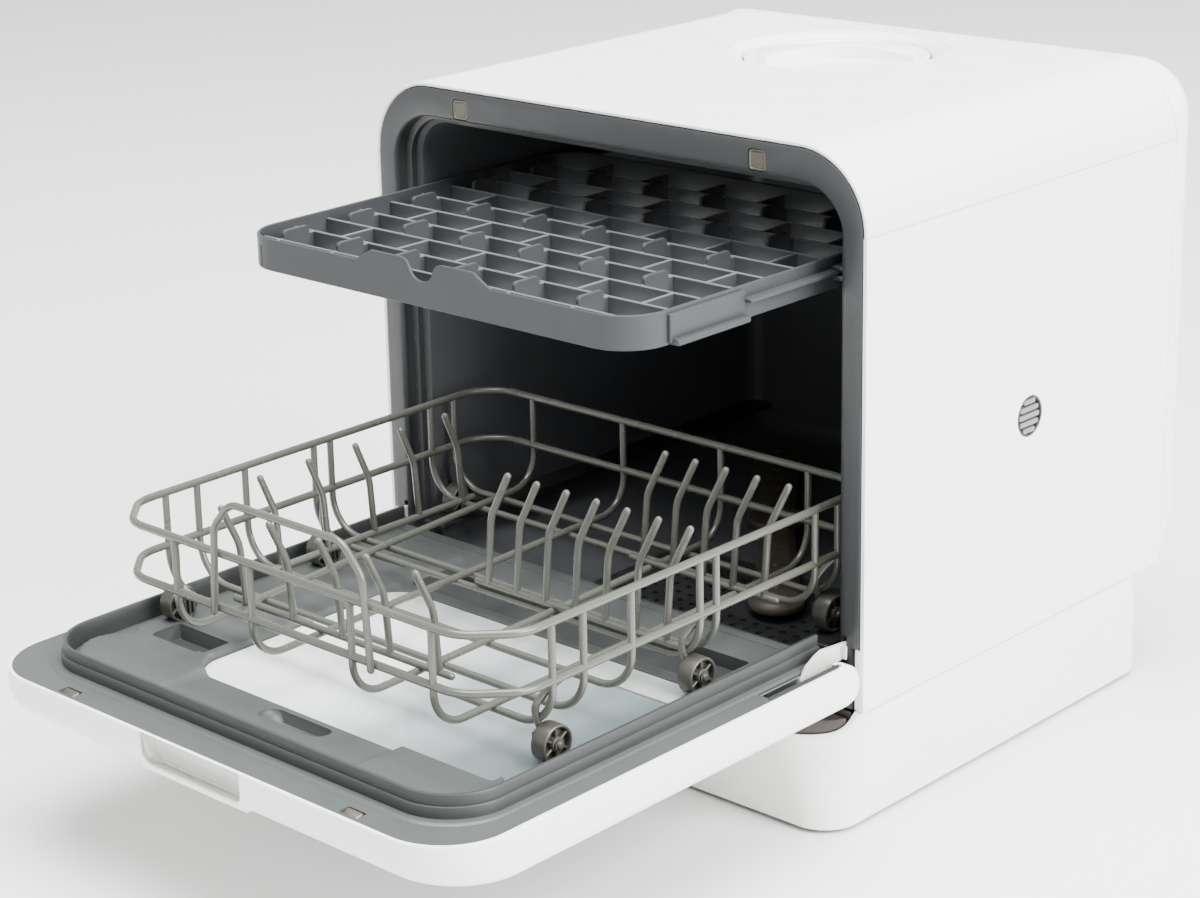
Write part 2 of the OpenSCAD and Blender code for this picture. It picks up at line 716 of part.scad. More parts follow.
grip_angle = 43;
grip_waist = 7;
grip_end = 21;

module fill_cap() color([0.94, 0.94, 0.93]) in_place() at_filler() difference() {
    union() {
        difference() {
            translate([0, 0, cap_top - cap_t]) cylinder(r = cap_r, h = cap_t);
            translate([0, 0, cap_top - 2]) cylinder(r = cap_r - 5, h = 3);
        }
        translate([0, 0, cap_top - 2.5]) linear_extrude(6) rotate(grip_angle) intersection() {
            circle(cap_r - 8);
            polygon([[-cap_r, -grip_end], [0, -grip_waist], [cap_r, -grip_end],
                [cap_r, grip_end], [0, grip_waist], [-cap_r, grip_end]]);
        }
    }
    translate([0, 0, cap_top - cap_t - 1]) cylinder(r = stub_r + pin_gap, h = 3.6);
}

// ---------------------------------------------------------------- rear connections
module hose_connectors() color([0.75, 0.75, 0.76]) in_place() translate([0, base_rear - 16, 0])
    for (x = connector_xs) translate([x, 0, connector_z]) rotate([-90, 0, 0]) difference() {
        union() {
            cylinder(r = connector_r, h = 26);
            cylinder(r = connector_r + 4, h = 3);
        }
        translate([0, 0, 3]) cylinder(r = 6, h = 30);
    }

module power_inlet() color([0.12, 0.12, 0.12]) in_place()
    translate([inlet_x, base_rear - 16, connector_z]) rotate([-90, 0, 0]) difference() {
        union() {
            cylinder(r = inlet_r, h = 19);
            cylinder(r = inlet_r + 4, h = 3);
        }
        translate([0, 0, 3]) cylinder(r = 4, h = 20);
    }

// ---------------------------------------------------------------- hinges
door_low = liner_z - door_t;
lug_r = 5.2;

// Carries a sideways outline (depth, z) across from x0 to x1
module across(x0, x1) translate([x0, 0, 0]) rotate([90, 0, 90]) linear_extrude(x1 - x0) children();

// Two cheeks beside each hinge arm stand out from the frame and hold the pin
module hinge_brackets() color([0.75, 0.75, 0.74]) in_place()
    for (side = [-1, 1], x = [cheek_in, cheek_out]) across(side > 0 ? x : -x - cheek_t, side > 0 ? x + cheek_t : -x)
        difference() {
            union() {
                translate([-hinge_front, hinge_z]) circle(lug_r);
                translate([-hinge_front, hinge_z - lug_r]) square([hinge_front, 2 * lug_r]);
            }
            translate([-hinge_front, hinge_z]) circle(pin_r);
        }

module hinge_pins() color([0.65, 0.65, 0.66]) in_place() for (side = [-1, 1])
    translate([side > 0 ? cheek_in - pin_end : -(cheek_out + cheek_t + pin_end), -hinge_front, hinge_z])
        rotate([0, 90, 0]) cylinder(r = pin_r, h = cheek_out + cheek_t - cheek_in + 2 * pin_end);

pin_end = 0.6;
arm_reach = 60;

// Outline of a hinge arm: a strap along the door's floor and a curved ear into the frame's slot
module hinge_arm_2d() difference() {
    union() {
        translate([-hinge_front, hinge_z]) circle(lug_r);
        translate([-hinge_front - arm_reach, door_low + door_floor_t]) square([arm_reach, 10]);
        polygon([[-hinge_front - 22, hinge_z], [-hinge_front - 22, ear_top - 13.5],
            [-hinge_front - 17, ear_top - 7], [-hinge_front - 9, ear_top - 2.3], [-hinge_front - 1, ear_top],
            [-8, ear_top - 1.3], [6, ear_top - 2.8], [12, ear_top - 4], [12, ear_top - 14],
            [2, ear_top - 12], [-8, ear_top - 12], [-hinge_front + 2, ear_top - 16],
            [-hinge_front - 4, hinge_z + lug_r], [-hinge_front - 4, hinge_z]]);
    }
    translate([-hinge_front, hinge_z]) circle(pin_r + pin_gap);
}

module door_hinge_arms() color([0.8, 0.8, 0.79]) in_place() for (side = [-1, 1])
    across(side * arm_x - arm_t / 2, side * arm_x + arm_t / 2) hinge_arm_2d();

// ---------------------------------------------------------------- door
door_heel = -hinge_front + heel_reach;
door_floor_t = 2.5;

// Flat outline of the door, drawn in by the inset and at its front edge by more, square at the heel
module door_2d(inset, heel, more = 0) {
    w = body_w - 2 * inset;
    r = door_r - inset;
    front = -door_reach + inset + more;
    translate([-w / 2, front + r]) square([w, heel - front - r]);
    translate([-w / 2 + r, front]) square([w - 2 * r, heel - front]);
    for (side = [-1, 1]) translate([side * (w / 2 - r), front + r]) circle(r);
}

// The door's outside: each step is a height above its underside, a draw-in and an extra one in front
skin_steps = [[0, 7, 15], [2.5, 3, 9], [7, 0.6, 4], [12, 0, 1.4], [18, 0, 0], [door_t, 0, 0]];

// The hollow inside, in the same terms
hollow_steps = [[door_floor_t, shell_wall + 7, 14], [10, shell_wall, 3], [door_t - liner_t - fit_gap, shell_wall, 0]];

module door_skin() hull() for (step = skin_steps)
    translate([0, 0, door_low + step[0] - (step[0] > 0 ? eps : 0)]) linear_extrude(eps)
        door_2d(step[1], door_heel - step[1], step[2], $fn = 36);

// The well in which the hinge arm and its two cheeks lie, beside the tub's opening
module hinge_well(x0, x1, z0, z1) for (side = [-1, 1])
    translate([side > 0 ? x0 : -x1, -hinge_front - 62, z0]) cube([x1 - x0, 62 + heel_reach + 1, z1 - z0]);

module window_cut(gap) translate([0, 0, door_low - 1]) linear_extrude(door_t + 2)
    plan_2d(window_w - 2 * gap, -window_front + gap, -window_back - gap, window_r - gap);

window_r = 20;

// The rounded scoop of the handle recess, grown by the wall
module handle_recess(wall) {
    r = 8;
    translate([handle_x, -door_reach + 14 + wall, 0]) rotate([90, 0, 0]) linear_extrude(20 + wall) {
        translate([-handle_w / 2 - wall, door_low + 9 + r]) square([handle_w + 2 * wall, liner_z]);
        for (side = [-1, 1]) translate([side * (handle_w / 2 - r), door_low + 9 + r]) circle(r + wall);
        translate([-handle_w / 2 + r, door_low + 9 - wall]) square([handle_w - 2 * r, 2 * r]);
    }
}

module door_outer_panel() color([0.95, 0.95, 0.94]) in_place() difference() {
    door_skin();
    difference() {
        for (step = hollow_steps) translate([0, 0, door_low + step[0]]) linear_extrude(door_t)
            door_2d(step[1], door_heel - step[1], step[2]);
        // the walls of the handle recess and of the window's well stay, and four posts
        intersection() {
            handle_recess(shell_wall);
            cube([2 * body_w, 2 * body_w, 2 * (liner_z - liner_t - fit_gap)], center = true);
        }
        translate([0, 0, door_low]) linear_extrude(door_t - liner_t - fit_gap)
            plan_2d(window_w + 5, -window_front - 2.5, -window_back + 2.5, window_r + 2.5);
        for (side = [-1, 1], y = [-150, -260]) translate([side * (window_w / 2 + 16), y, door_low])
            cylinder(r = 4, h = door_t - liner_t - fit_gap);
    }
    window_cut(0);
    handle_recess(0);
    hinge_well(cheek_in - 1.2, cheek_out + cheek_t + 1.2, door_low + door_floor_t, liner_z + 1);
}

module door_window() color([0.78, 0.82, 0.84, 0.35]) in_place() intersection() {
    window_cut(fit_gap);
    union() {
        translate([-body_w / 2, -door_reach, door_low + 0.5]) cube([body_w, door_reach, 3.5]);
        translate([-body_w / 2, -door_reach, liner_z - liner_t]) cube([body_w, door_reach, liner_t - 0.5]);
        translate([-body_w / 2, -window_front, door_low + 1]) cube([body_w, 5, door_t - 3]);
    }
}

rim_r = 40;
rim_band = rim_h / 2;

// Flat outline of the raised rim, drawn in by the inset and open towards the hinge
module rim_2d(inset, heel) {
    w = rim_w - 2 * inset;
    r = rim_r - inset;
    translate([-w / 2, -rim_front + inset + r]) square([w, heel + rim_front - inset - r]);
    translate([-w / 2 + r, -rim_front + inset]) square([w - 2 * r, heel + rim_front - inset]);
    for (side = [-1, 1]) translate([side * (w / 2 - r), -rim_front + inset + r]) circle(r);
}

rim_heel = -14;

module rim_band(inset, wall, z0, z1) translate([0, 0, z0]) linear_extrude(z1 - z0) difference() {
    rim_2d(inset, rim_heel);
    rim_2d(inset + wall, rim_heel + 1);
}

catch_l = 12;

module door_liner() color([0.56, 0.58, 0.57]) in_place() difference() {
    union() {
        translate([0, 0, liner_z - liner_t]) linear_extrude(liner_t)
            door_2d(shell_wall + fit_gap, door_heel - shell_wall - fit_gap);
        rim_band(0, rim_wall, liner_z - eps, liner_z + rim_band);
    }
    window_cut(0);
    for (side = [-1, 1]) translate([side * latch_x - catch_l / 2 - fit_gap, -door_reach + 6 - fit_gap, liner_z - 10])
        cube([catch_l + 2 * fit_gap, 6 + 2 * fit_gap, 20]);
    hinge_well(arm_x - 2.5, arm_x + 8, liner_z - 10, liner_z + 10);
}

module door_gasket() color([0.16, 0.17, 0.17]) in_place()
    rim_band(1, rim_wall - 2, liner_z + rim_band, liner_z + rim_h);

module door_catches() color([0.3, 0.3, 0.31]) in_place() for (side = [-1, 1])
    translate([side * latch_x - catch_l / 2, -door_reach + 6, liner_z - liner_t - 3]) {
        cube([catch_l, 6, liner_t + 11]);
        translate([0, 0, liner_t + 8]) cube([catch_l, 8, 3]);
    }

// ---------------------------------------------------------------- dish basket
basket_y0 = -basket_front;
basket_y1 = basket_y0 + basket_d;
side_x = basket_w / 2;
side_ys = [basket_y0 + 49, basket_y0 + 75, basket_y0 + 116, -107, -92, basket_y1 - 58, basket_y1 - 35];
front_xs = [-101, -31, 57, 124];
back_xs = [-126, -41, 46, 119];
bend = 16;
back_cut = 18;

// How far crossing wires sink into each other at their welds
weld_depth = 0.8;
long_wire_z = basket_floor_z + wire_d - weld_depth;

// One side panel of wires, for the right side
module side_wires() {
    for (z = [rail_low_z, rail_top_z])
        wire([side_x, basket_y0 + basket_chamfer, z], [side_x, basket_y1 - back_cut, z], rail_d);
    for (y = side_ys) wires([[side_x, y, rail_top_z], [side_x, y, basket_floor_z + bend],
        [side_x - bend, y, basket_floor_z]]);
}

module basket_side_right() color([0.66, 0.66, 0.63]) in_place() side_wires();
module basket_side_left() color([0.66, 0.66, 0.63]) in_place() mirror([1, 0, 0]) side_wires();

module basket_floor() color([0.66, 0.66, 0.63]) in_place() {
    for (y = side_ys) wire([-side_x + bend, y, basket_floor_z], [side_x - bend, y, basket_floor_z]);
    for (i = [0 : len(front_xs) - 1]) wire([front_xs[i], basket_y0 + bend, long_wire_z],
        [back_xs[i], basket_y1 - bend, long_wire_z]);
}

// The end panel at depth y, whose corners turn inwards by the cut; dir points out of the basket
module end_wires(xs, y, dir, cut) {
    for (z = [rail_low_z, rail_top_z]) wires([[-side_x, y - dir * cut, z], [-side_x + cut, y, z],
        [side_x - cut, y, z], [side_x, y - dir * cut, z]], rail_d);
    for (x = xs) wires([[x, y, rail_top_z], [x, y, long_wire_z + bend],
        [x, y - dir * bend, long_wire_z]]);
}

module basket_front_wires() color([0.66, 0.66, 0.63]) in_place() end_wires(front_xs, basket_y0, -1, basket_chamfer);
module basket_back_wires() color([0.66, 0.66, 0.63]) in_place() end_wires(back_xs, basket_y1, 1, back_cut);

module basket_handle() color([0.66, 0.66, 0.63]) in_place() {
    y = basket_y0 - rail_d * 0.8;
    w = hoop_w / 2;
    translate([8, 0, 0]) wires([[-w, y, rail_low_z], [-w + 4, y, hoop_top_z - 18], [-w + 20, y, hoop_top_z],
        [w - 20, y, hoop_top_z], [w - 4, y, hoop_top_z - 18], [w, y, rail_low_z]]);
}

// A row of bent tines that stand on a foot wire, which lies on the wires centred at floor_z; each
// entry of feet is a place on it, and the tines lean by the vector to their tips at the height top
module tine_row(feet, lean, top, floor_z = long_wire_z) {
    foot_z = floor_z + wire_d - weld_depth;
    rise = (top - foot_z) * 0.6;
    ends = [feet[0], feet[len(feet) - 1]];
    along = (ends[1] - ends[0]) / norm(ends[1] - ends[0]) * 10;
    wire(concat(ends[0] - along, foot_z), concat(ends[1] + along, foot_z));
    for (f = feet) wires([concat(f, foot_z), concat(f + 0.2 * lean, foot_z + rise), concat(f + lean, top)]);
}

tine_h = 80.3;
tine_front_h = 70.3;
tine_left_h = 68.5;
tine_pitch = 25;
cup_pitch = 42;
tine_lean = 20;
tine_lean_front = 16;

module tine_row_front() color([0.66, 0.66, 0.63]) in_place()
    tine_row([for (x = [-102, -57, -12, 30, 72]) [x, basket_y0 + 55]], [0, -tine_lean_front], long_wire_z + tine_front_h);
module tine_row_middle() color([0.66, 0.66, 0.63]) in_place()
    tine_row([for (i = [6 : -1 : 0]) [side_x - 26 - i * tine_pitch, -108]], [tine_lean, 0], long_wire_z + tine_h);
module tine_row_back() color([0.66, 0.66, 0.63]) in_place()
    tine_row([for (i = [4 : -1 : 0]) [side_x - 28 - i * tine_pitch, basket_y1 - 74]], [tine_lean, 0], long_wire_z + tine_h);
module tine_row_left() color([0.66, 0.66, 0.63]) in_place()
    tine_row([for (i = [4 : -1 : 0]) [32 - side_x, basket_y1 - 61 - i * cup_pitch]], [0, -14], basket_floor_z + tine_left_h, basket_floor_z);

wheel_ys = [basket_y0 + 51, -106, basket_y1 - 37];
wheel_x = side_x + 1.5 - wheel_w / 2;
wheel_z = liner_z + tread_gap + wheel_r;
clip_t = 3;
clip_w = 9;
clip_gap = 0.3;
pin_proud = 2.5;

module at_wheel(side, y) translate([side * wheel_x, y, wheel_z]) rotate([0, side * 90, 0]) children();

// Six clips hang from the lower rails on the inside and carry the wheels' pins
module wheel_clips() color([0.5, 0.5, 0.5]) in_place() for (side = [-1, 1], y = wheel_ys) {
    inner = wheel_x - wheel_w / 2 - clip_gap - clip_t;
    reach = side_x + 3 - inner;
    clip_top = rail_low_z - rail_d / 2;
    translate([side > 0 ? inner : -inner - clip_t, y - clip_w / 2, wheel_z - 6])
        cube([clip_t, clip_w, clip_top - wheel_z + 6]);
    translate([side > 0 ? inner : -inner - reach, y - clip_w / 2, clip_top - 2.5]) cube([reach, clip_w, 2.8]);
    at_wheel(side, y) {
        translate([0, 0, -wheel_w / 2 - clip_gap - 1]) cylinder(r = wheel_pin_r, h = wheel_w + clip_gap + 1 + pin_proud);
        translate([0, 0, wheel_w / 2 + clip_gap]) cylinder(r1 = wheel_pin_r + 1.5, r2 = wheel_pin_r, h = pin_proud);
    }
}

// A spoked wheel about the local Z axis
module wheel() difference() {
    translate([0, 0, -wheel_w / 2]) cylinder(r = wheel_r, h = wheel_w);
    translate([0, 0, -wheel_w]) cylinder(r = wheel_pin_r + pin_gap, h = 2 * wheel_w);
    for (a = [0 : 60 : 359]) rotate(a) translate([(wheel_r + wheel_pin_r) / 2 + 0.2, 0, -wheel_w])
        cylinder(r = wheel_r * 0.18, h = 2 * wheel_w);
}

module wheel_left_front() color([0.55, 0.55, 0.54]) in_place() at_wheel(-1, wheel_ys[0]) wheel();
module wheel_left_middle() color([0.55, 0.55, 0.54]) in_place() at_wheel(-1, wheel_ys[1]) wheel();
module wheel_left_back() color([0.55, 0.55, 0.54]) in_place() at_wheel(-1, wheel_ys[2]) wheel();
module wheel_right_front() color([0.55, 0.55, 0.54]) in_place() at_wheel(1, wheel_ys[0]) wheel();
module wheel_right_middle() color([0.55, 0.55, 0.54]) in_place() at_wheel(1, wheel_ys[1]) wheel();
module wheel_right_back() color([0.55, 0.55, 0.54]) in_place() at_wheel(1, wheel_ys[2]) wheel();

// ---------------------------------------------------------------- cutlery tray
tray_y0 = -tray_front;
tray_y1 = tray_y0 + tray_d;
tray_low = tray_top_z - tray_h;
slat_t = 2.2;
slat_h = 9.5;
slat_top = tray_top_z - 5;
first_slat = 17;
slat_ys = [for (y = [tray_y0 + first_slat : slat_pitch : tray_y1 - 8]) y];
slat_x0 = 5;
tab_h = 5;
tab_l = 22;
flange_gap = 4;
flange_reach = tray_gap + tray_wall - flange_gap;
wing_y = -65;
stop_l = 65;

// Flat outline of the tray, drawn in by the inset, with rounded corners
module tray_2d(inset) plan_2d(tray_w - 2 * inset, tray_y0 + inset, tray_y1 - inset, tray_r - inset);

lip_in = 15;
lip_out = 44;
notch_r = 11;

// The lip across the tray's front, with the round notch between its two humps
module tray_lip_2d() difference() {
    polygon([[-lip_out - 14, tray_top_z - 2], [lip_out + 14, tray_top_z - 2], [lip_out, tray_top_z + tray_lip_h],
        [-lip_out, tray_top_z + tray_lip_h]]);
    tray_notch_2d();
}

module tray_notch_2d() {
    translate([0, tray_top_z - 5 + notch_r]) circle(notch_r);
    polygon([[-notch_r, tray_top_z - 5 + notch_r], [notch_r, tray_top_z - 5 + notch_r],
        [lip_in + 2, tray_top_z + tray_lip_h + 1], [-lip_in - 2, tray_top_z + tray_lip_h + 1]]);
}

module side_bar(side, y, l, z, t) translate([side > 0 ? tray_w / 2 - tray_wall : -tray_w / 2 - flange_reach + tray_wall,
    y, z]) cube([flange_reach, l, t]);

module cutlery_tray() color([0.45, 0.46, 0.47]) in_place() {
    translate([0, 0, tray_low]) linear_extrude(tray_h) difference() {
        tray_2d(0);
        tray_2d(tray_wall);
    }
    along_y(tray_y0, tray_y0 + tray_wall) tray_lip_2d();
    for (side = [-1, 1]) {
        side_bar(side, wing_y, tray_y1 - tray_r - wing_y, tray_flange_z, tray_flange_t);
        side_bar(side, wing_y - stop_l, stop_l, tray_low, 4);
    }
    intersection() {
        translate([0, 0, tray_low]) linear_extrude(tray_h + 1) tray_2d(tray_wall / 2);
        translate([0, 0, slat_top - slat_h]) union() {
            for (y = slat_ys) translate([-tray_w / 2, y, 0]) cube([tray_w, slat_t, slat_h]);
            for (row = [0 : len(slat_ys) - 1], i = [-4 : 3])
                translate([(i + (row % 2) * 0.5) * cell_w + slat_x0, slat_ys[row], 0])
                    cube([slat_t, slat_pitch + slat_t, slat_h]);
            for (row = [0 : 2 : len(slat_ys) - 1], i = [-3 : 2])
                translate([i * cell_w + slat_x0, slat_ys[row] + slat_t + 1, slat_h - 1]) cube([slat_t, tab_l, tab_h + 1]);
            for (i = [-3 : 3]) translate([i * cell_w + slat_x0, tray_y0, 0]) cube([slat_t, first_slat + 1, slat_h]);
        }
    }
}

base_shell();
base_pan();
feet();
control_strip();
control_board();
top_shell();
side_panel_left();
side_panel_right();
side_vent_grille();
rear_cover();
rear_screws();
front_frame();
frame_catch_plates();
tub();
tub_gasket();
tub_rails();
sump();
filter_mesh();
filter_cup();
spray_feed();
spray_arm();
wash_pump();
drain_pump();
water_heater();
fan_duct();
fan_housing();
fan_rotor();
fill_funnel();
fill_pipe();
cap_plug();
cap_seal();
fill_cap();
hose_connectors();
power_inlet();
hinge_brackets();
hinge_pins();
door_outer_panel();
door_liner();
door_gasket();
door_window();
door_hinge_arms();
door_catches();
basket_floor();
basket_side_left();
basket_side_right();
basket_front_wires();
basket_back_wires();
basket_handle();
tine_row_front();
tine_row_middle();
tine_row_back();
tine_row_left();
wheel_clips();
wheel_left_front();
wheel_left_middle();
wheel_left_back();
wheel_right_front();
wheel_right_middle();
wheel_right_back();
cutlery_tray();
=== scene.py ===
# %% [markdown]
# # A countertop dishwasher, dressed in Blender
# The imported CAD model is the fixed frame: sizes, places and joints come from it. Its solids could be
# shown as they are, but they are coarse triangles with hard edges. So this lesson puts smooth skins
# and finishes over them, one piece at a time, and leaves the solids where they are.

# %% Load the frame
import math
import bpy
import numpy as np
from mathutils import Matrix


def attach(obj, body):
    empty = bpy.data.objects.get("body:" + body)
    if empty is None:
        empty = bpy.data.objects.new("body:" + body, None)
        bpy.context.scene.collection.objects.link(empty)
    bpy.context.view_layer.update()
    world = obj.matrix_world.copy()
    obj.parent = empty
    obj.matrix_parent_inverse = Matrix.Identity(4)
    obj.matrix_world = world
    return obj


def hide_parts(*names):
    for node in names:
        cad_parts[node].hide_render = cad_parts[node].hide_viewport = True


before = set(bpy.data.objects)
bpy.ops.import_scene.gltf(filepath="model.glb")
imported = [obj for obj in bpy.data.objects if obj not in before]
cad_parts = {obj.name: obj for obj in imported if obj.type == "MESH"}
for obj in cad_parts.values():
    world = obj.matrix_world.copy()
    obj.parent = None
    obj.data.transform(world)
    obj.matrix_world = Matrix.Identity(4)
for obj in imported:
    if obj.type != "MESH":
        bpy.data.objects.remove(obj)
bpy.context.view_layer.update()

# %% [markdown]
# ## Working in millimetres
# The CAD counts depths from the front frame's face. Working in the same numbers keeps every size
# readable, so the points are turned into metres only when a mesh is made.

# %% Units
FACE_Y = -0.0125
SIDES = (-1, 1)


def metres(points):
    """Millimetres counted from the front frame to the frame's metres: a thousandth, y moved by FACE_Y."""
    out = np.array(points, float) * 0.001
    out[..., 1] += FACE_Y
    return out


print("the front frame's face lies at", metres([0, 0, 0]), "m")

# %% [markdown]
# ## Outlines
# Nearly every moulded part is a loft: a closed outline that is repeated along a path and joined
# with quads. A bevel modifier could round plain boxes, but outlines of one family have equally many
# points, so they always fit together, and every radius is known.

# %% Outlines
def arc(centre, radius, start, end, steps=16):
    """Points of a circular arc between two angles in degrees: centre + radius (cos a, sin a)."""
    a = np.radians(np.linspace(start, end, steps + 1))
    return np.column_stack([centre[0] + radius * np.cos(a), centre[1] + radius * np.sin(a)])


def outline(u0, u1, v0, v1, radii, steps=10):
    """Rounded rectangle, anticlockwise from the low left corner: each corner is centre + r (cos a, sin a)."""
    if np.isscalar(radii):
        radii = [radii] * 4
    corners = [(u0, v0, 1, 1, 180), (u1, v0, -1, 1, 270), (u1, v1, -1, -1, 0), (u0, v1, 1, -1, 90)]
    points = []
    for (u, v, su, sv, start), r in zip(corners, radii):
        r = max(r, 0.02)
        a = np.radians(start + np.linspace(0, 90, steps + 1))
        points.append(np.column_stack([u + su * r + r * np.cos(a), v + sv * r + r * np.sin(a)]))
    return np.concatenate(points)


def lift(flat, axis, value):
    """A 2D outline as 3D points: the coordinate called axis gets the value."""
    value = np.broadcast_to(value, (len(flat),))
    columns = {"x": [value, flat[:, 0], flat[:, 1]], "y": [flat[:, 0], value, flat[:, 1]],
               "z": [flat[:, 0], flat[:, 1], value]}[axis]
    return np.column_stack(columns)


print("a rounded square has", len(outline(0, 10, 0, 10, 2)), "points")

# %% [markdown]
# ## Lofts
# A loft numbers its grid of points row by row, so the corners of every quad follow from two running
# indices. Each closed part is then turned outwards by the sign of its volume, which is safer than
# asking Blender to guess from the faces.

# %% Lofts
def loft(rings, around=True, along=False, caps=False):
    """Points and faces of a grid of rings; around closes each ring, along joins the last to the first.

    Point j of ring i has the number i n + j. A quad joins j and j + 1 of one ring with those of the next."""
    rings = np.array(rings, float)
    m, n = rings.shape[:2]
    i = np.arange(m if along else m - 1)[:, None]
    j = np.arange(n if around else n - 1)[None, :]
    a, b = i * n + j, i * n + (j + 1) % n
    c, d = (i + 1) % m * n + (j + 1) % n, (i + 1) % m * n + j
    faces = np.stack([a, b, c, d], -1).reshape(-1, 4).tolist()
    if caps:
        faces += [list(range(n))[::-1], list(range((m - 1) * n, m * n))]
    return rings.reshape(-1, 3), faces


def outward(part):
    """Turns a closed part's faces outwards: its volume, the sum of a . (b x c) / 6, must not be negative."""
    points, faces = part
    fans = np.array([(f[0], f[k], f[k + 1]) for f in faces for k in range(1, len(f) - 1)])
    a, b, c = points[fans].transpose(1, 0, 2) - points[:1]
    volume = np.einsum("ij,ij->i", a, np.cross(b, c)).sum()
    return (points, [list(f)[::-1] for f in faces]) if volume < 0 else (points, faces)


def join(parts):
    """Several (points, faces) as one: the face numbers of each are moved past the points before it."""
    points, faces, count = [], [], 0
    for p, f in map(outward, parts):
        points.append(p)
        faces += [[k + count for k in face] for face in f]
        count += len(p)
    return np.concatenate(points), faces


two_squares = [lift(outline(0, 1, 0, 1, 0.1), "z", z) for z in (0, 1)]
print("two rounded squares are joined by", len(loft(two_squares)[1]), "quads")

# %% [markdown]
# ## Plates and blocks
# Moulded and pressed parts have no knife edges: even a clip's rim is 0.3 mm round. Both shapes here
# draw their first and last outline in by that much, which costs two more rows and no modifier.

# %% Plates and blocks
def plate(flat, axis, low, high, edge=0.4):
    """An outline carried from low to high, with its two rims drawn in by the edge width."""
    middle = flat.mean(axis=0)
    reach = np.abs(flat - middle).max()
    inner = middle + (flat - middle) * (1 - edge / reach)
    return loft([lift(inner, axis, low), lift(flat, axis, low + edge), lift(flat, axis, high - edge),
                 lift(inner, axis, high)], caps=True)


def block(x, y, z, r=1.0, edge=0.4):
    """A box between pairs of limits, with round upright corners and soft rims."""
    rings = [lift(outline(x[0] + e, x[1] - e, y[0] + e, y[1] - e, max(r - e, 0.05), 4), "z", h)
             for e, h in ((edge, z[0]), (0, z[0] + edge), (0, z[1] - edge), (edge, z[1]))]
    return loft(rings, caps=True)


def side_block(side, x, y, z, r=1.0, edge=0.4):
    """A block on the left (side -1) or on the right (side 1): its x limits are mirrored about x = 0."""
    return block(sorted((side * x[0], side * x[1])), y, z, r, edge)


def block_pair(*limits):
    """The same block on the left and on the right."""
    return [side_block(side, *limits) for side in SIDES]


print("a block has", len(block((0, 10), (0, 10), (0, 10))[1]), "faces")

# %% [markdown]
# ## Wires
# A bent wire is a circle swept along a path. The path's corners are first replaced by arcs. A curve
# with a bevel would do too, but here the circle is carried without twisting by plain arithmetic, so
# the tube never pinches, and its ends can be rounded as the dipped tips of real wires are.

# %% Bends
def fillet(points, radius, steps=6):
    """Replaces each inner corner by an arc that touches both legs at radius / tan(half the angle)."""
    pts = [np.array(p, float) for p in points]
    out = [pts[:1]]
    t = np.linspace(0, 1, steps + 1)[:, None]
    for a, b, c in zip(pts, pts[1:], pts[2:]):
        la, lc = np.linalg.norm(a - b), np.linalg.norm(c - b)
        u, v = (a - b) / la, (c - b) / lc
        half = math.acos(np.clip(u @ v, -1, 1)) / 2
        if half > 1.55:
            continue
        touch = min(radius / math.tan(half), 0.48 * la, 0.48 * lc)
        centre = b + (u + v) / np.linalg.norm(u + v) * touch / math.cos(half)
        p, q = b + u * touch - centre, b + v * touch - centre
        sweep = math.acos(np.clip(p @ q / (np.linalg.norm(p) * np.linalg.norm(q)), -1, 1))
        out.append(centre + (p * np.sin((1 - t) * sweep) + q * np.sin(t * sweep)) / math.sin(sweep))
    return np.concatenate(out + [pts[-1:]])


print("one bend turns 3 points into", len(fillet([(0, 0, 0), (10, 0, 0), (10, 10, 0)], 3)))


# %% Tubes
def rounded_end(path, ahead, radius, end):
    """Three smaller circles past an end of the path, at r sin a from it and with the radius r cos a."""
    a = np.radians([72, 48, 24])
    sign = -1 if end == 0 else 1
    return path[end] + sign * ahead[end] * (radius * np.sin(a))[:, None], radius * np.cos(a)


def tube(path, radius, sides=12, closed=False, round_ends=False):
    """A circle carried along the path: each normal is the last one made square to the new direction."""
    path = np.array(path, float)
    ahead = np.roll(path, -1, axis=0) - np.roll(path, 1, axis=0) if closed else np.gradient(path, axis=0)
    ahead /= np.linalg.norm(ahead, axis=1)[:, None]
    radii = np.full(len(path), float(radius))
    if round_ends:
        first, r = rounded_end(path, ahead, radius, 0)
        last, _ = rounded_end(path, ahead, radius, -1)
        path = np.concatenate([first, path, last[::-1]])
        radii = np.concatenate([r, radii, r[::-1]])
        ahead = np.concatenate([np.repeat(ahead[:1], 3, 0), ahead, np.repeat(ahead[-1:], 3, 0)])
    normal = np.cross(ahead[0], [0, 0, 1.0])
    if np.linalg.norm(normal) < 0.1:
        normal = np.array([1.0, 0, 0])
    a = np.linspace(0, 2 * math.pi, sides, endpoint=False)
    rings = []
    for p, t, r in zip(path, ahead, radii):
        normal = normal - t * (normal @ t)
        normal /= np.linalg.norm(normal)
        other = np.cross(t, normal)
        rings.append(p + r * (np.cos(a)[:, None] * normal + np.sin(a)[:, None] * other))
    return loft(rings, along=closed, caps=not closed)


print("a short tube has", len(tube([(0, 0, 0), (0, 0, 9)], 2)[1]), "faces")

# %% [markdown]
# ## Turned parts
# Hubs, pins and round rings are profiles turned about a line. A Screw modifier could do that, but
# the same loft takes them too: its rows are circles with the profile's radii and heights.

# %% Turned parts
def circles(profile, centre, steps):
    """One circle, centre + radius (cos a, sin a), for each (radius, height) pair of the profile."""
    a = np.linspace(0, 2 * math.pi, steps, endpoint=False)
    return [np.column_stack([centre[0] + r * np.cos(a), centre[1] + r * np.sin(a), np.full(steps, h)])
            for r, h in profile]


def lathe(profile, centre, steps=96):
    """A solid turned part: its first and last circles are closed."""
    return loft(circles(profile, centre, steps), caps=True)


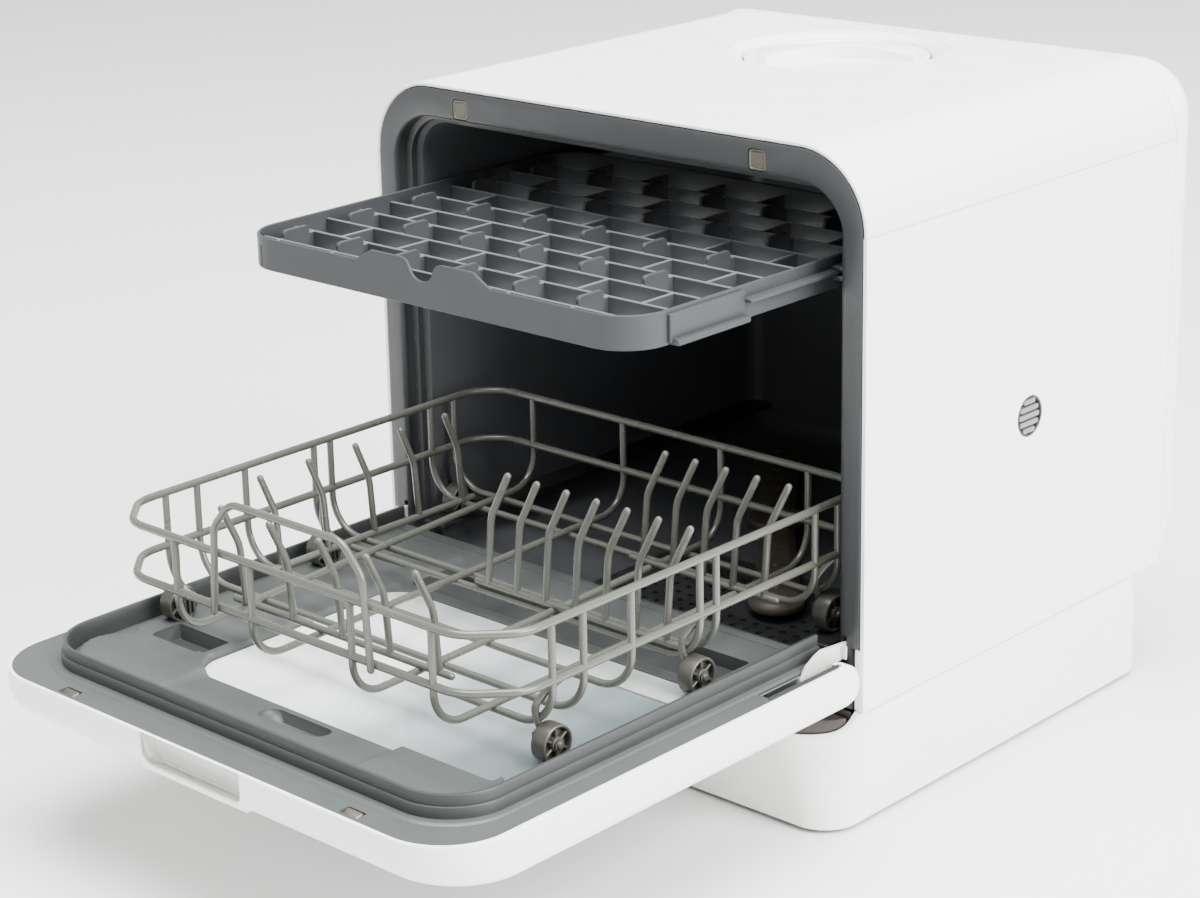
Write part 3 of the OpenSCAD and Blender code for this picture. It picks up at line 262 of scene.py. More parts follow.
def ring_lathe(profile, centre, steps=128):
    """A turned ring: the profile is closed and the last circle joins the first."""
    return loft(circles(profile, centre, steps), along=True)


print("a turned pin has", len(lathe([(1, 0), (1, 5)], (0, 0), 24)[1]), "faces")

# %% [markdown]
# ## From numbers to a piece
# A piece is a mesh object that rides on a CAD body and may stand for CAD nodes. Faces are shaded
# smooth and only the edges sharper than an angle stay hard. Openings are taken out with an exact
# boolean whose result is stored at once, so no live modifier is left on a piece.

# %% Make a piece
def new_object(name, points, faces):
    """A mesh object at the origin from points in metres."""
    mesh = bpy.data.meshes.new(name)
    mesh.from_pydata(points.tolist(), [], faces)
    mesh.update()
    obj = bpy.data.objects.new(name, mesh)
    bpy.context.scene.collection.objects.link(obj)
    return obj


def soften(mesh, sharp):
    """Shades the mesh smooth but for the edges sharper than the angle in degrees."""
    mesh.polygons.foreach_set("use_smooth", [True] * len(mesh.polygons))
    mesh.set_sharp_from_angle(angle=math.radians(sharp))


def piece(name, parts, finish, body="housing", replaces=(), sharp=38):
    points, faces = join(parts)
    obj = new_object(name, metres(points), faces)
    obj.data.validate()
    soften(obj.data, sharp)
    obj.data.materials.append(finish)
    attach(obj, body)
    if replaces:
        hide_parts(*replaces)
    print(name, len(faces), "faces")
    return obj


# %% Cut openings
def cut(obj, parts, sharp=38):
    """Takes the shape of the parts out of a piece for good: an exact boolean, evaluated and stored."""
    points, faces = join(parts)
    cutter = new_object("cutter", metres(points), faces)
    change = obj.modifiers.new("cut", "BOOLEAN")
    change.object = cutter
    change.solver = "EXACT"
    evaluated = obj.evaluated_get(bpy.context.evaluated_depsgraph_get())
    new = bpy.data.meshes.new_from_object(evaluated)
    obj.modifiers.remove(change)
    obj.data = new
    bpy.data.objects.remove(cutter)
    soften(new, sharp)
    print(obj.name, len(new.polygons), "faces after the cut")


# %% [markdown]
# ## Colours and nodes
# Colours are written as sRGB hex codes, which people can compare by eye, but shaders reckon in
# linear light, so one function turns them. A second one adds a node with its settings and links,
# which keeps each material's recipe to one line a node.

# %% Colour and node helpers
def linear(code):
    """An sRGB hex colour as linear RGBA: ((c + 0.055) / 1.055) ** 2.4 for all but the darkest."""
    c = np.array([int(code[i:i + 2], 16) for i in (0, 2, 4)]) / 255
    c = np.where(c > 0.04045, ((c + 0.055) / 1.055) ** 2.4, c / 12.92)
    return (*c.tolist(), 1.0)


def add(tree, kind, sockets=(), **settings):
    """Adds a node, sets its properties, and fills its sockets with numbers or links."""
    node = tree.nodes.new(kind)
    for key, value in settings.items():
        setattr(node, key, value)
    for key, value in dict(sockets).items():
        if isinstance(value, bpy.types.NodeSocket):
            tree.links.new(value, node.inputs[key])
        else:
            node.inputs[key].default_value = value
    return node


def new_material(name):
    """An empty node material with a Principled shader wired to its output."""
    material = bpy.data.materials.new(name)
    material.use_nodes = True
    tree = material.node_tree
    tree.nodes.clear()
    shader = add(tree, "ShaderNodeBsdfPrincipled")
    out = add(tree, "ShaderNodeOutputMaterial")
    tree.links.new(shader.outputs["BSDF"], out.inputs["Surface"])
    return material, tree, shader


print("mid grey 808080 in linear light:", round(linear("808080")[0], 3))

# %% [markdown]
# ## Moulded plastic
# Moulded ABS and polypropylene aren't one flat colour. The melt's flow leaves slow changes of shade,
# handling leaves patches of gloss, and the etched mould leaves a fine grain. An image texture would
# need unwrapping and would repeat, so three node noises of different sizes do it. A moulded grain is
# 0.1 to 0.3 mm in size, too fine to show here, so it is drawn at about 1.1 mm and very shallow.
# Blender's usual IOR of 1.5 suits all these plastics, and the shine alone is tuned.

# %% Plastic
SHADE_SCALE, GLOSS_SCALE, GRAIN_SCALE = 9.0, 40.0, 900.0  # features a metre: about 110, 25 and 1.1 mm
GRAIN_DEPTH = 0.0004


def plastic(name, code, rough=0.4, bump=0.06, mottle=0.04, spread=0.06, shine=0.5):
    """Shade: colour times 1 -+ mottle. Gloss: rough -+ spread. Grain: a bump of GRAIN_DEPTH in metres."""
    material, tree, shader = new_material(name)
    place = add(tree, "ShaderNodeTexCoord").outputs["Object"]
    slow = add(tree, "ShaderNodeTexNoise", {"Vector": place, "Scale": SHADE_SCALE, "Detail": 3.0})
    colour = np.array(linear(code)[:3])
    ramp = add(tree, "ShaderNodeValToRGB", {"Fac": slow.outputs["Fac"]})
    for stop, factor, position in zip(ramp.color_ramp.elements, (1 - mottle, 1 + mottle), (0.3, 0.7)):
        stop.position = position
        stop.color = (*np.clip(colour * factor, 0, 1).tolist(), 1)
    tree.links.new(ramp.outputs["Color"], shader.inputs["Base Color"])
    patch = add(tree, "ShaderNodeTexNoise", {"Vector": place, "Scale": GLOSS_SCALE, "Detail": 4.0})
    gloss = add(tree, "ShaderNodeMapRange", {"Value": patch.outputs["Fac"], "From Min": 0.3, "From Max": 0.7,
                                            "To Min": max(rough - spread, 0.02), "To Max": rough + spread})
    tree.links.new(gloss.outputs["Result"], shader.inputs["Roughness"])
    fine = add(tree, "ShaderNodeTexNoise", {"Vector": place, "Scale": GRAIN_SCALE, "Detail": 2.0})
    relief = add(tree, "ShaderNodeBump", {"Height": fine.outputs["Fac"], "Strength": bump,
                                         "Distance": GRAIN_DEPTH})
    tree.links.new(relief.outputs["Normal"], shader.inputs["Normal"])
    shader.inputs["Specular IOR Level"].default_value = shine
    return material


# %% White and grey plastics of the shell, the door and the tray
# ABS from a polished mould: nearly pure white, with a clean and wide highlight.
white = plastic("abs_white_glossy", "f1f1ee", rough=0.32, bump=0.03, mottle=0.008, shine=0.45)
# The same ABS from an eroded mould: matt.
white_inner = plastic("abs_white_matt", "ecece8", rough=0.45, bump=0.03, mottle=0.01)
# Etched ABS of the frame: a dull, even face that makes the opening look deep.
frame_grey = plastic("abs_grey_frame", "2f3133", rough=0.42, bump=0.06, mottle=0.03)
# Etched polypropylene of the liner: softer, with a cool sheen at a low angle.
liner_grey = plastic("pp_grey_liner", "434745", rough=0.46, bump=0.08, mottle=0.03)
# The rim's smoother polypropylene: darker, with a thin line of light on its top edge.
rim_grey = plastic("pp_grey_rim", "303332", rough=0.4, bump=0.05, mottle=0.03)
# Moulded silicone: the blotchy, slightly greasy look of a seal.
seal_grey = plastic("silicone_grey_seal", "2d302f", rough=0.5, bump=0.1, mottle=0.04)
# The tray's polypropylene: it reflects little, so its walls stay dark under the lights.
tray_grey = plastic("pp_grey_tray", "383a3c", rough=0.4, bump=0.05, mottle=0.03, shine=0.22)
# The steps of the tub's mouth: between the frame's grey and the tub's.
mouth_grey = plastic("pp_grey_tub_mouth", "363839", rough=0.42, bump=0.05, mottle=0.04)
# Painted shade: a dull grey with no gloss, for the shadow inside seams and gaps.
shadow_grey = plastic("abs_grey_painted_seam_shade", "4c4c4b", rough=0.7, bump=0.02, mottle=0.02)
print("shell, door and tray: 9 finishes")

# %% Dark plastics inside, rubber and lacquer
# The tub's polypropylene: dark grey, with broad soft patches of light from the opening.
tub_black = plastic("pp_black_tub", "4b4d50", rough=0.38, bump=0.05, mottle=0.06)
# Acetal rails: slippery, with a small soft highlight.
rail_black = plastic("pom_black_rail", "232426", rough=0.4, bump=0.05, mottle=0.05)
# Moulded rubber: rough, without a highlight, and blotchy with dust.
rubber = plastic("rubber_black_moulded", "151515", rough=0.62, bump=0.12, mottle=0.08)
# Polypropylene of the parts inside: plain, black and matt.
dark = plastic("pp_black_inner_parts", "262729", rough=0.5, bump=0.08, mottle=0.05)
# A cast acrylic strip: nearly a mirror.
strip_black = plastic("acrylic_black_strip", "0b0b0d", rough=0.12, bump=0.01, mottle=0.03, spread=0.03)
# Solder lacquer on a board: green, fairly glossy, uneven.
circuit = plastic("board_green_lacquered", "1f5a37", rough=0.4, bump=0.1, mottle=0.1)
# The spray arm's filled polypropylene: brownish and satin.
arm_brown = plastic("pp_brown_spray_arm", "423d31", rough=0.42, bump=0.06, mottle=0.06)
# Acetal wheels and clips: hard and satin, a warm grey close to the wire's.
wheel_grey = plastic("pom_grey_wheel", "3e3d37", rough=0.36, bump=0.05, mottle=0.05)
clip_grey = plastic("pom_grey_clip", "3a3a37", rough=0.4, bump=0.05, mottle=0.05)
# ABS of the sill: dark brown, smooth enough to mirror the white rim.
sill_brown = plastic("abs_brown_sill", "322a29", rough=0.35, bump=0.04, mottle=0.04)
# The latch's acetal: brown, its gloss blotchy from rubbing.
latch_brown = plastic("pom_brown_latch", "4c473f", rough=0.3, bump=0.05, mottle=0.08)
# Polypropylene bars of the vent: mid grey and a little dusty.
vent_grey = plastic("pp_grey_vent_bars", "6e706f", rough=0.45, bump=0.05, mottle=0.03)
# PVC hose: clear on the real object, an opaque pale grey here, because it is hidden.
tube_clear = plastic("pvc_clear_tube", "b9bdc2", rough=0.3, bump=0.03, mottle=0.04)
print("inside: 13 finishes")

# %% [markdown]
# ## Coated wire, painted steel and bare metal
# The basket's steel wire is dipped in nylon, so it is a dielectric with a warm grey colour and small
# bright highlights, and not a metal. The screws and catch plates are bare. Rolling and pressing leave
# scratches that run one way, and noise in stretched coordinates draws them.

# %% Wire, paint and metal
SCRATCH_SCALE, SCRATCH_DEPTH = 60.0, 0.0003  # 17 mm long, and 0.6 mm wide where the stretch is 30


def metal(name, code, rough=0.3, stretch=(1, 30, 30), bump=0.05):
    """Gloss from rough - 0.1 to rough + 0.12 along the scratches, and a bump of SCRATCH_DEPTH in metres."""
    material, tree, shader = new_material(name)
    place = add(tree, "ShaderNodeTexCoord").outputs["Object"]
    pulled = add(tree, "ShaderNodeMapping", {"Vector": place, "Scale": stretch})
    lines = add(tree, "ShaderNodeTexNoise", {"Vector": pulled.outputs["Vector"], "Scale": SCRATCH_SCALE,
                                            "Detail": 5.0})
    gloss = add(tree, "ShaderNodeMapRange", {"Value": lines.outputs["Fac"], "To Min": max(rough - 0.1, 0.05),
                                            "To Max": rough + 0.12})
    tree.links.new(gloss.outputs["Result"], shader.inputs["Roughness"])
    relief = add(tree, "ShaderNodeBump", {"Height": lines.outputs["Fac"], "Strength": bump,
                                         "Distance": SCRATCH_DEPTH})
    tree.links.new(relief.outputs["Normal"], shader.inputs["Normal"])
    shader.inputs["Base Color"].default_value = linear(code)
    shader.inputs["Metallic"].default_value = 1.0
    return material


# Nylon dip coat: warm grey, with a small bright highlight along every wire.
wire = plastic("nylon_coated_wire", "50514a", rough=0.24, bump=0.04, mottle=0.06, shine=0.6)
# Powder coat on stamped steel: off-white and satin.
hinge_white = plastic("steel_painted_white", "cfcfcb", rough=0.34, bump=0.04, mottle=0.02)
# Rolled steel: a wide metallic glint broken by long fine scratches.
steel = metal("steel_rolled", "b6b7ba", rough=0.3)
# Nickel plating on a pressed plate: darker and blurred, with finer scratches.
nickel = metal("nickel_plate_pressed", "6f6b61", rough=0.42, stretch=(4, 4, 60))
print(len(bpy.data.materials), "finishes")

# %% [markdown]
# ## The cabinet's top shell
# On the real machine one moulded sheet is bent over the top, with flat side panels below it. A
# Solidify modifier could give a flat sheet its wall, but here the outer face and the inner face are
# each an arch with its own radius, so both stay parallel round the bends and the rims can be soft.

# %% Sizes of the cabinet
HALF_W, TOP_Z, BASE_TOP, SHELL_LOW = 210.0, 435.0, 80.0, 383.5
SEAM_Y, REAR_Y, WALL = 343.0, 386.0, 2.5
SHELL_R = 51.0
FILL = (-8.0, 254.0)
print("cabinet", 2 * HALF_W, "x", REAR_Y, "x", TOP_Z, "mm")


# %% Top shell
def arch(half, low, top, r):
    """An arch in x and z: up the right side, over the top, down the left side."""
    return np.concatenate([[[half, low]], arc((half - r, top - r), r, 0, 90),
                           arc((r - half, top - r), r, 90, 180), [[-half, low]]])


def band(lines):
    """Open lines with equally many points, joined side by side into a closed strip with capped ends."""
    points, faces = loft(lines, around=False, along=True)
    n, m = len(lines[0]), len(lines)
    return points, faces + [[k * n for k in range(m)], [k * n + n - 1 for k in range(m)][::-1]]


def arch_line(draw, y, inset=0.0):
    """The top shell's arch at a depth, drawn in by the edge softening and set in by the wall."""
    return lift(arch(HALF_W - inset - draw, SHELL_LOW, TOP_Z - inset - draw, SHELL_R - inset), "y", y)


outer_edges = ((0.6, 0.4), (0, 1.0), (0, SEAM_Y - 0.5), (0.4, SEAM_Y))
inner_edges = ((-0.4, SEAM_Y), (0, SEAM_Y - 0.5), (0, 1.0), (-0.6, 0.4))
shell_lines = [arch_line(d, y) for d, y in outer_edges] + [arch_line(d, y, WALL) for d, y in inner_edges]
top_skin = piece("top_skin", [band(shell_lines)], white, replaces=["top_shell"])
cut(top_skin, [lathe([(78.3, 425.0), (78.3, 440.0)], FILL)])

# %% [markdown]
# ## Painted shade behind the seams
# Moulded shells meet with a gap of about half a millimetre, which the eye reads as a thin grey line:
# the shadow inside it. A line could be painted on the panels, but a real gap also shows from the side.
# It needs something dull behind it, so that shadow is painted on thin grey strips behind the seams
# between the shell, the side panels and the base.

# %% Seam shade strips
SHADE_STRIP_X = (208.2, 209.3)
# Painted shade: dull grey strips behind the seam gaps stand in for the shadow inside them.
seam_parts = [side_block(s, SHADE_STRIP_X, (1.5, 342), z, 0.3, 0.2)
              for s in SIDES for z in ((382.7, 383.9), (79.6, 80.8))]
seam_parts += block_pair(SHADE_STRIP_X, (342.4, 344.0), (82, 380), 0.3, 0.2)
piece("seam_shade_strips", seam_parts, shadow_grey)

# %% [markdown]
# ## The rear cover
# The rear cover is a deep tray whose edges turn in along a quarter circle. A bevelled box comes
# close, but its corners would keep one radius. Each ring here is a rounded rectangle drawn in by
# R - sqrt(R^2 - d^2), d being how far it lies past the start of the curve, with its own corner radii.

# %% Rear cover
REAR_R, REAR_FRONT = 40.0, 343.4


def rear_ring(depth, wall):
    """The rear cover's outline at a depth; the inner face is drawn in by the wall as well."""
    d = max(depth - (REAR_Y - REAR_R), 0)
    draw = REAR_R - math.sqrt(max(REAR_R * REAR_R - d * d, 0)) + wall
    grow = min(max((depth - REAR_FRONT) / 9.0, 0), 1)
    top_r = max(SHELL_R - 11 * grow - draw, 1.0)
    low_r = max(2 + 32 * grow - draw, 1.0)
    flat = outline(-HALF_W + draw, HALF_W - draw, BASE_TOP + 0.4 + draw, TOP_Z - draw,
                   [low_r, low_r, top_r, top_r], 12)
    return lift(flat, "y", depth - wall * (d > 0) * d / REAR_R)


def rear_shell():
    """The cover's inner face from the back forward, round the front edge, and its outer face back."""
    turn = np.radians(np.linspace(7.5, 90, 12))
    depths = [REAR_FRONT, 344.2, 346.0] + [346 + REAR_R * math.sin(a) for a in turn]
    inner = [rear_ring(d, WALL) for d in depths[::-1]]
    return loft(inner + [rear_ring(d, 0) for d in depths], caps=True)


rear_skin = piece("rear_skin", [rear_shell()], white, replaces=["rear_cover"])
cut(rear_skin, [tube([(x, 374.0, z), (x, 390.0, z)], 4.4, 24) for x in (-140, 140) for z in (130, 380)])

# %% [markdown]
# ## The base
# The base is as wide as the cabinet and stands further forward, and its front rim is let down so
# that the door's heel can turn above it. A boolean could take the rim away, but it leaves a knife
# edge. Here the rim's height is a function of the plan, so the rounded rim follows the climb.

# %% Base
def base_ring(draw, front_z, rear_z):
    """The outline drawn in by a distance; its height climbs from front_z to rear_z round the corners.

    The corner radius grows from 30 mm at the table to 48 mm at the rim. The share of the climb is
    0.28 t + 0.72 t^5, where t is the share of the way from y = -26 to y = 0.4."""
    r = 30.0 + 18.0 * min(front_z / 58, 1) - draw
    half, y0, y1 = HALF_W - draw, -30.0 + draw, 345.0 - draw
    right = arc((half - r, y0 + r), r, -90, 0, 48)
    back = arc((half - r, y1 - r), r, 0, 90, 12)
    flat = np.concatenate([right, back, back[::-1] * [-1, 1], right[::-1] * [-1, 1]])
    t = np.clip((flat[:, 1] + 26) / 26.4, 0, 1)
    return lift(flat, "z", front_z + (rear_z - front_z) * (0.28 * t + 0.72 * t ** 5))


def base_shell():
    """A closed band: outside up with its draft, over the rim, and down the inside of the wall."""
    rows = [(5.5, 3, 3), (4.9, 3.6, 3.6), (0.2, 62.6, 77.5), (0.3, 64.0, 79.0), (1.2, 65.1, 79.7),
            (2.4, 65.5, 80), (3.2, 65.1, 79.9), (3.8, 60, 60), (9.5, 60, 60), (9.5, 57.5, 57.5),
            (6.0, 57.5, 57.5), (7.5, 3, 3)]
    return loft([base_ring(*row) for row in rows], along=True)


base_skin = piece("base_skin", [base_shell()], white, replaces=["base_shell"])
inlets = ((-120, 10.3), (-80, 10.3), (130, 9.3))
cut(base_skin, [block((-100, 100), (-45, -20), (27, 53), 1.0)]
    + [tube([(x, 320.0, 38.0), (x, 360.0, 38.0)], r, 32) for x, r in inlets])

# %% [markdown]
# ## The sill inside the base
# Behind the lowered rim a brown moulded cover closes the space under the door's heel. It is seen as
# a narrow dark lens at the corner, so a shallow bowl with the rim's own corner arcs is enough. Two black
# strips behind it are painted shade: they stop the light from shining through to the tub and keep
# the gap dark.

# %% Sill cover
def sill_outline(inset, last):
    """The plan of the base's lowered front, drawn in: its corner arcs run up to the given angle."""
    corner = 48.0
    right = arc((HALF_W - corner, -30 + corner), corner - inset, -90, last, 14)
    return np.concatenate([right, right[::-1] * [-1, 1]])


sill_rows = [(6.6, 73.4), (6.6, 60.3), (4.4, 60.3), (4.4, 74.6), (4.7, 75.2), (5.4, 75.5)]
piece("sill_cover", [loft([lift(sill_outline(d, -29.5), "z", z) for d, z in sill_rows], caps=True)],
      sill_brown)
# Painted shade: black strips that keep the gap behind the sill cover dark.
piece("sill_gap_shade", block_pair((150, 201.6), (-1.4, -0.7), (60.4, 79.6), 0.3, 0.2), rubber)

# %% [markdown]
# ## The front frame
# The grey frame is a flat moulded ring with a soft inner edge. An extruded outline would have sharp
# rims that catch no light, so the ring is a loft of outlines: over the outer edge, across the face
# and into the opening. Notches leave room for the two catches and for the hinge arms.

# %% Frame ring
LATCH_X, HINGE_X = 127, 195.5


def frame_outer(draw, y):
    """The frame's outer outline, square below and round above, drawn in at a depth."""
    radii = [1.5, 1.5, 48.0 - draw, 48.0 - draw]
    return lift(outline(-206.9 + draw, 206.9 - draw, 80.4 + draw, 431.9 - draw, radii, 16), "y", y)


def frame_inner(grow, y):
    """The opening's outline, larger by grow at a depth."""
    r = 33.0 + grow
    return lift(outline(-191.5 - grow, 191.5 + grow, 84 - grow * 0.6, 411.5 + grow, r, 16), "y", y)


frame_rings = [frame_outer(*row) for row in ((0, 5), (0, 0.8), (0.25, 0.25), (0.8, 0))]
frame_rings += [frame_inner(*row) for row in ((3.2, 0), (1.6, 0.4), (0.5, 1.5), (0, 3.2), (0, 5))]
frame_ring = piece("frame_ring", [loft(frame_rings, along=True)], frame_grey, replaces=["front_frame"])
cut(frame_ring, [plate(outline(x - 6.9, x + 6.9, 413.1, 426.9, 2.6), "y", -2, 2.2, 0.1)
                 for x in (-LATCH_X, LATCH_X)]
    + [block((x - 1.6, x + 1.6), (-14, 12), (70, 128.5), 0.4) for x in (-HINGE_X, HINGE_X)]
    + block_pair((201.5, 212), (-3, 8), (70, 122), 0.6))

# %% [markdown]
# ## Beside the hinge
# At its lower corners the real frame is narrower: a white strip of the shell shows beside it, and
# the slot for the hinge arm is dark inside, which a black block paints as shade. Both are thin
# blocks, because only one face of each is ever seen.

# %% Hinge gap and edge strips
# Painted shade: a black block that keeps the hinge slot dark inside.
piece("hinge_gap_shade", block_pair((200.6, 207.2), (6.2, 7.6), (80.6, 123.5), 0.4, 0.3), rubber)
piece("edge_strips", block_pair((202.9, 207.3), (0.9, 5.4), (80.6, 121.3), 0.5, 0.4), white)

# %% [markdown]
# ## Catch plates
# The two catch plates are small pressed plates of bare nickel. A raised border with round corners
# stands round a lower brown field, and a narrow gap sets the plate off from the frame. At this size
# a bump map would do from afar, but real rings keep the glint on the border from every side.

# %% Catch plates
def catch_plate(x):
    """A pressed plate: border, inner slope and field, as rings of rounded squares in the frame's plane."""
    rows = [(6.4, 2.2, 2.0), (6.5, 2.4, 0.4), (6.2, 2.2, 0.1), (5.4, 1.8, 0.1), (4.9, 1.5, 0.7),
            (4.7, 1.4, 0.75)]
    return loft([lift(outline(x - h, x + h, 420 - h, 420 + h, r, 6), "y", y) for h, r, y in rows], caps=True)


def catch_field(x):
    """The field inside the border: a small rounded square plate."""
    return plate(outline(x - 4.9, x + 4.9, 415.1, 424.9, 1.5, 6), "y", 0.35, 1.2, 0.2)


piece("frame_catch_pair", [catch_plate(x) for x in (-LATCH_X, LATCH_X)], nickel,
      replaces=["frame_catch_plates"])
piece("frame_catch_fields", [catch_field(x) for x in (-LATCH_X, LATCH_X)], latch_brown)

# %% [markdown]
# ## The tub
# The tub is a deep moulded bucket. Its mouth steps in twice, and those two steps give the lines seen
# round the opening. One loft runs over the steps and down to the back wall, whose rim turns in along
# a quarter circle. The steps are a piece of their own, because they carry the mouth's lighter grey.

# %% Tub
def tub_ring(half, low, top, r, y):
    """The tub's rounded section at a depth."""
    return lift(outline(-half, half, low, top, r, 14), "y", y)


mouth_rows = [(193.0, 82.5, 413.0, 34.5, 14.0), (193.0, 82.5, 413.0, 34.5, 5.2),
              (191.6, 84.0, 411.5, 33.0, 5.2), (191.6, 84.0, 411.5, 33.0, 10.0),
              (186.6, 87.0, 408.5, 30.0, 10.6), (186.2, 87.4, 408.2, 29.7, 14.5),
              (180.6, 94.4, 405.5, 25.6, 15.2), (180.0, 95.0, 405.0, 25.0, 16.5)]
back_turn = [(14 * (1 - math.cos(a)), 357 + 14 * math.sin(a)) for a in np.radians(np.linspace(0, 90, 8))]
SUMP_AXIS, SPRAY_AXIS = (80, 78), (0, 178)
tub_inside = [tub_ring(*row) for row in mouth_rows]
tub_inside += [tub_ring(180 - d, 95 + d, 405 - d, 25 - d * 0.6, y) for d, y in back_turn]
tub_outside = [tub_ring(181.6, 93.4, 406.6, 26.6, y) for y in (15.9, 366.0)]
tub_outside.append(tub_ring(176, 99, 401, 20, 372.6))
mouth_back = [tub_ring(181.2, 93.9, 406.0, 26.0, 16.0), tub_ring(192.6, 83, 412.6, 34, 16.0)]
tub_skin = piece("tub_skin", [loft(tub_inside[:4:-1] + tub_outside, caps=True)], tub_black, replaces=["tub"])
piece("tub_mouth", [loft(tub_inside[:7] + mouth_back, along=True)], mouth_grey, replaces=["tub_gasket"])
cut(tub_skin, [lathe([(23.0, 90.0), (23.0, 96.0)], SUMP_AXIS), lathe([(9.2, 90.0), (9.2, 96.0)], SPRAY_AXIS)])

# %% [markdown]
# ## The door
# The door lies open, flat on its back. Its white skin is one moulding: the sides and the front edge
# turn under along quarter ellipses, and the hinge end is a full half circle. No single bevel has
# three different radii, so the skin is a stack of outlines and every edge has its own function.

# %% Door skin
LINER_Z, DOOR_LOW, DOOR_FRONT, HEEL = 117.0, 87.0, -361.0, -1.5
HEEL_Z, HEEL_R = 102, 15


def turn_under(z, width, height):
    """How far an edge is drawn in: width (1 - sqrt(1 - (1 - t)^2)), where t = (z - DOOR_LOW) / height."""
    t = min(max((z - DOOR_LOW) / height, 0), 1)
    return width * (1 - math.sqrt(1 - (1 - t) ** 2))


def door_ring(z, draw=0.0):
    """The door's outline at a height, drawn in by a further distance.

    The heel is a half circle: it is drawn in by R - sqrt(R^2 - h^2), h being the height from its middle."""
    side = turn_under(z, 7, 10) + draw
    front = turn_under(z, 22, 19) + draw
    heel = HEEL_R - math.sqrt(max(HEEL_R ** 2 - (z - HEEL_Z) ** 2, 0)) + draw
    top = max(z - 115.8, 0) / 1.2
    side, front = side + 0.5 * top ** 2, front + 0.5 * top ** 2
    r = 46.0 - side
    flat = outline(-HALF_W + side, HALF_W - side, DOOR_FRONT + front, HEEL - heel, [r, r, 3, 3], 20)
    return lift(flat, "z", z)


heights = (87, 87.1, 87.4, 88, 89, 90.5, 92.5, 95, 98, 102, 106, 110, 113, 115, 116, 116.6, 117)
door_rows = [(z, 0.0) for z in heights] + [(117, 2.2), (114, 2.4), (100, 3.0), (92, 8.0)]
door_skin = piece("door_skin", [loft([door_ring(*row) for row in door_rows], caps=True)], white, body="door",
                  replaces=["door_outer_panel"])

# %% [markdown]
# ## Openings in the door
# The window, the handle's scoop and the two hinge slots are openings in the skin. They cross its
# curved edges, where a loft's rows can't be bent to meet them, so a boolean takes them out.

# %% Openings
def window_ring(grow, z):
    """The window's outline at a height."""
    return lift(outline(-100 - grow, 164 + grow, -280 - grow, -102 + grow,
                        [22 + grow, 3 + grow, 3 + grow, 22 + grow], 12), "z", z)


def scoop_ring(y, draw):
    """The handle recess at a depth: a flat scoop with round lower corners."""
    return lift(outline(-49 + draw, 41 - draw, 96 + draw, 116.9, [9, 9, 1, 1], 10), "y", y)


scoop_rows = ((-380, -2), (-358, 0), (-350, 1.5), (-347.5, 5))
scoop_hollow = loft([scoop_ring(*row) for row in scoop_rows], caps=True)
cut(door_skin, [loft([window_ring(0, 80), window_ring(0, 125)], caps=True)])
cut(door_skin, [scoop_hollow]
    + [block((x - 5, x + 5), (-84, 0), (89.5, 125), 1) for x in (-HINGE_X, HINGE_X)])

# %% [markdown]
# ## Heel cover and handle scoop
# Between the hinge arms the liner's grey plastic rolls over the door's heel, and in the front edge a
# white insert forms the scoop for the fingers. The first is a side view carried across the door, the
# second a block with the scoop's hollow taken out.

# %% Heel cover and handle scoop
heel_side = np.concatenate([[[-22.0, 100.0], [-6, 100.0]], arc((-16.5, HEEL_Z), 15.3, 0, 92, 14),
                            [[-22.0, 117.3]]])
piece("heel_cover", [plate(heel_side, "x", -191.5, 191.5, 0.3)], liner_grey, body="door")
scoop = piece("handle_scoop", [block((-53, 45), (-359.4, -342), (92.5, 114.3), 3, 1.0)], white, body="door")
cut(scoop, [scoop_hollow])

# %% [markdown]
# ## Painted shade for the hollows
# Deep pockets look darker than the face they lie in, because little light reaches them. That shade
# is painted into the colour. Baked occlusion would do this too, but a ramp of the height is enough:
# in both pieces that use it, low always means deep.

# %% Shade by height
def opened(material):
    """A finished material's node tree, its shader and its Object coordinates, for adding to it."""
    tree = material.node_tree
    kinds = {node.type: node for node in tree.nodes}
    return tree, kinds["BSDF_PRINCIPLED"], kinds["TEX_COORD"].outputs["Object"]


def shade_by_height(material, low, high, darkest):
    """Multiplies the base colour by a ramp of the height z: darkest below low, 1 above high, in metres."""
    tree, shader, place = opened(material)
    old = shader.inputs["Base Color"].links[0].from_socket
    split = add(tree, "ShaderNodeSeparateXYZ", {"Vector": place})
    ramp = add(tree, "ShaderNodeMapRange", {"Value": split.outputs["Z"], "From Min": low, "From Max": high,
                                            "To Min": darkest, "To Max": 1.0})
    mix = add(tree, "ShaderNodeMix", {0: 1.0, 6: old, 7: ramp.outputs["Result"]}, data_type="RGBA",
              blend_type="MULTIPLY")
    tree.links.new(mix.outputs[2], shader.inputs["Base Color"])
    return material


POCKET_FLOOR, FIELD, POCKET_SHADE = 0.1085, 0.1165, 0.42
# Painted shade: the liner's grey, darkened by a height ramp in its pockets.
liner_grey_pocket_shade = shade_by_height(plastic("pp_grey_liner_painted_pocket_shade", "434745", rough=0.46, bump=0.08, mottle=0.03),
                               POCKET_FLOOR, FIELD, POCKET_SHADE)
print("the liner's pockets get", POCKET_SHADE, "of its colour")

# %% [markdown]
# ## The door's liner
# The liner is one pressed sheet between two outlines, the door's and the window's. A blend of the
# two gives rings at every distance, and a height function presses the plateaus, the ramp and the
# groove into them. Sculpting could do this by eye; a function keeps every edge straight.

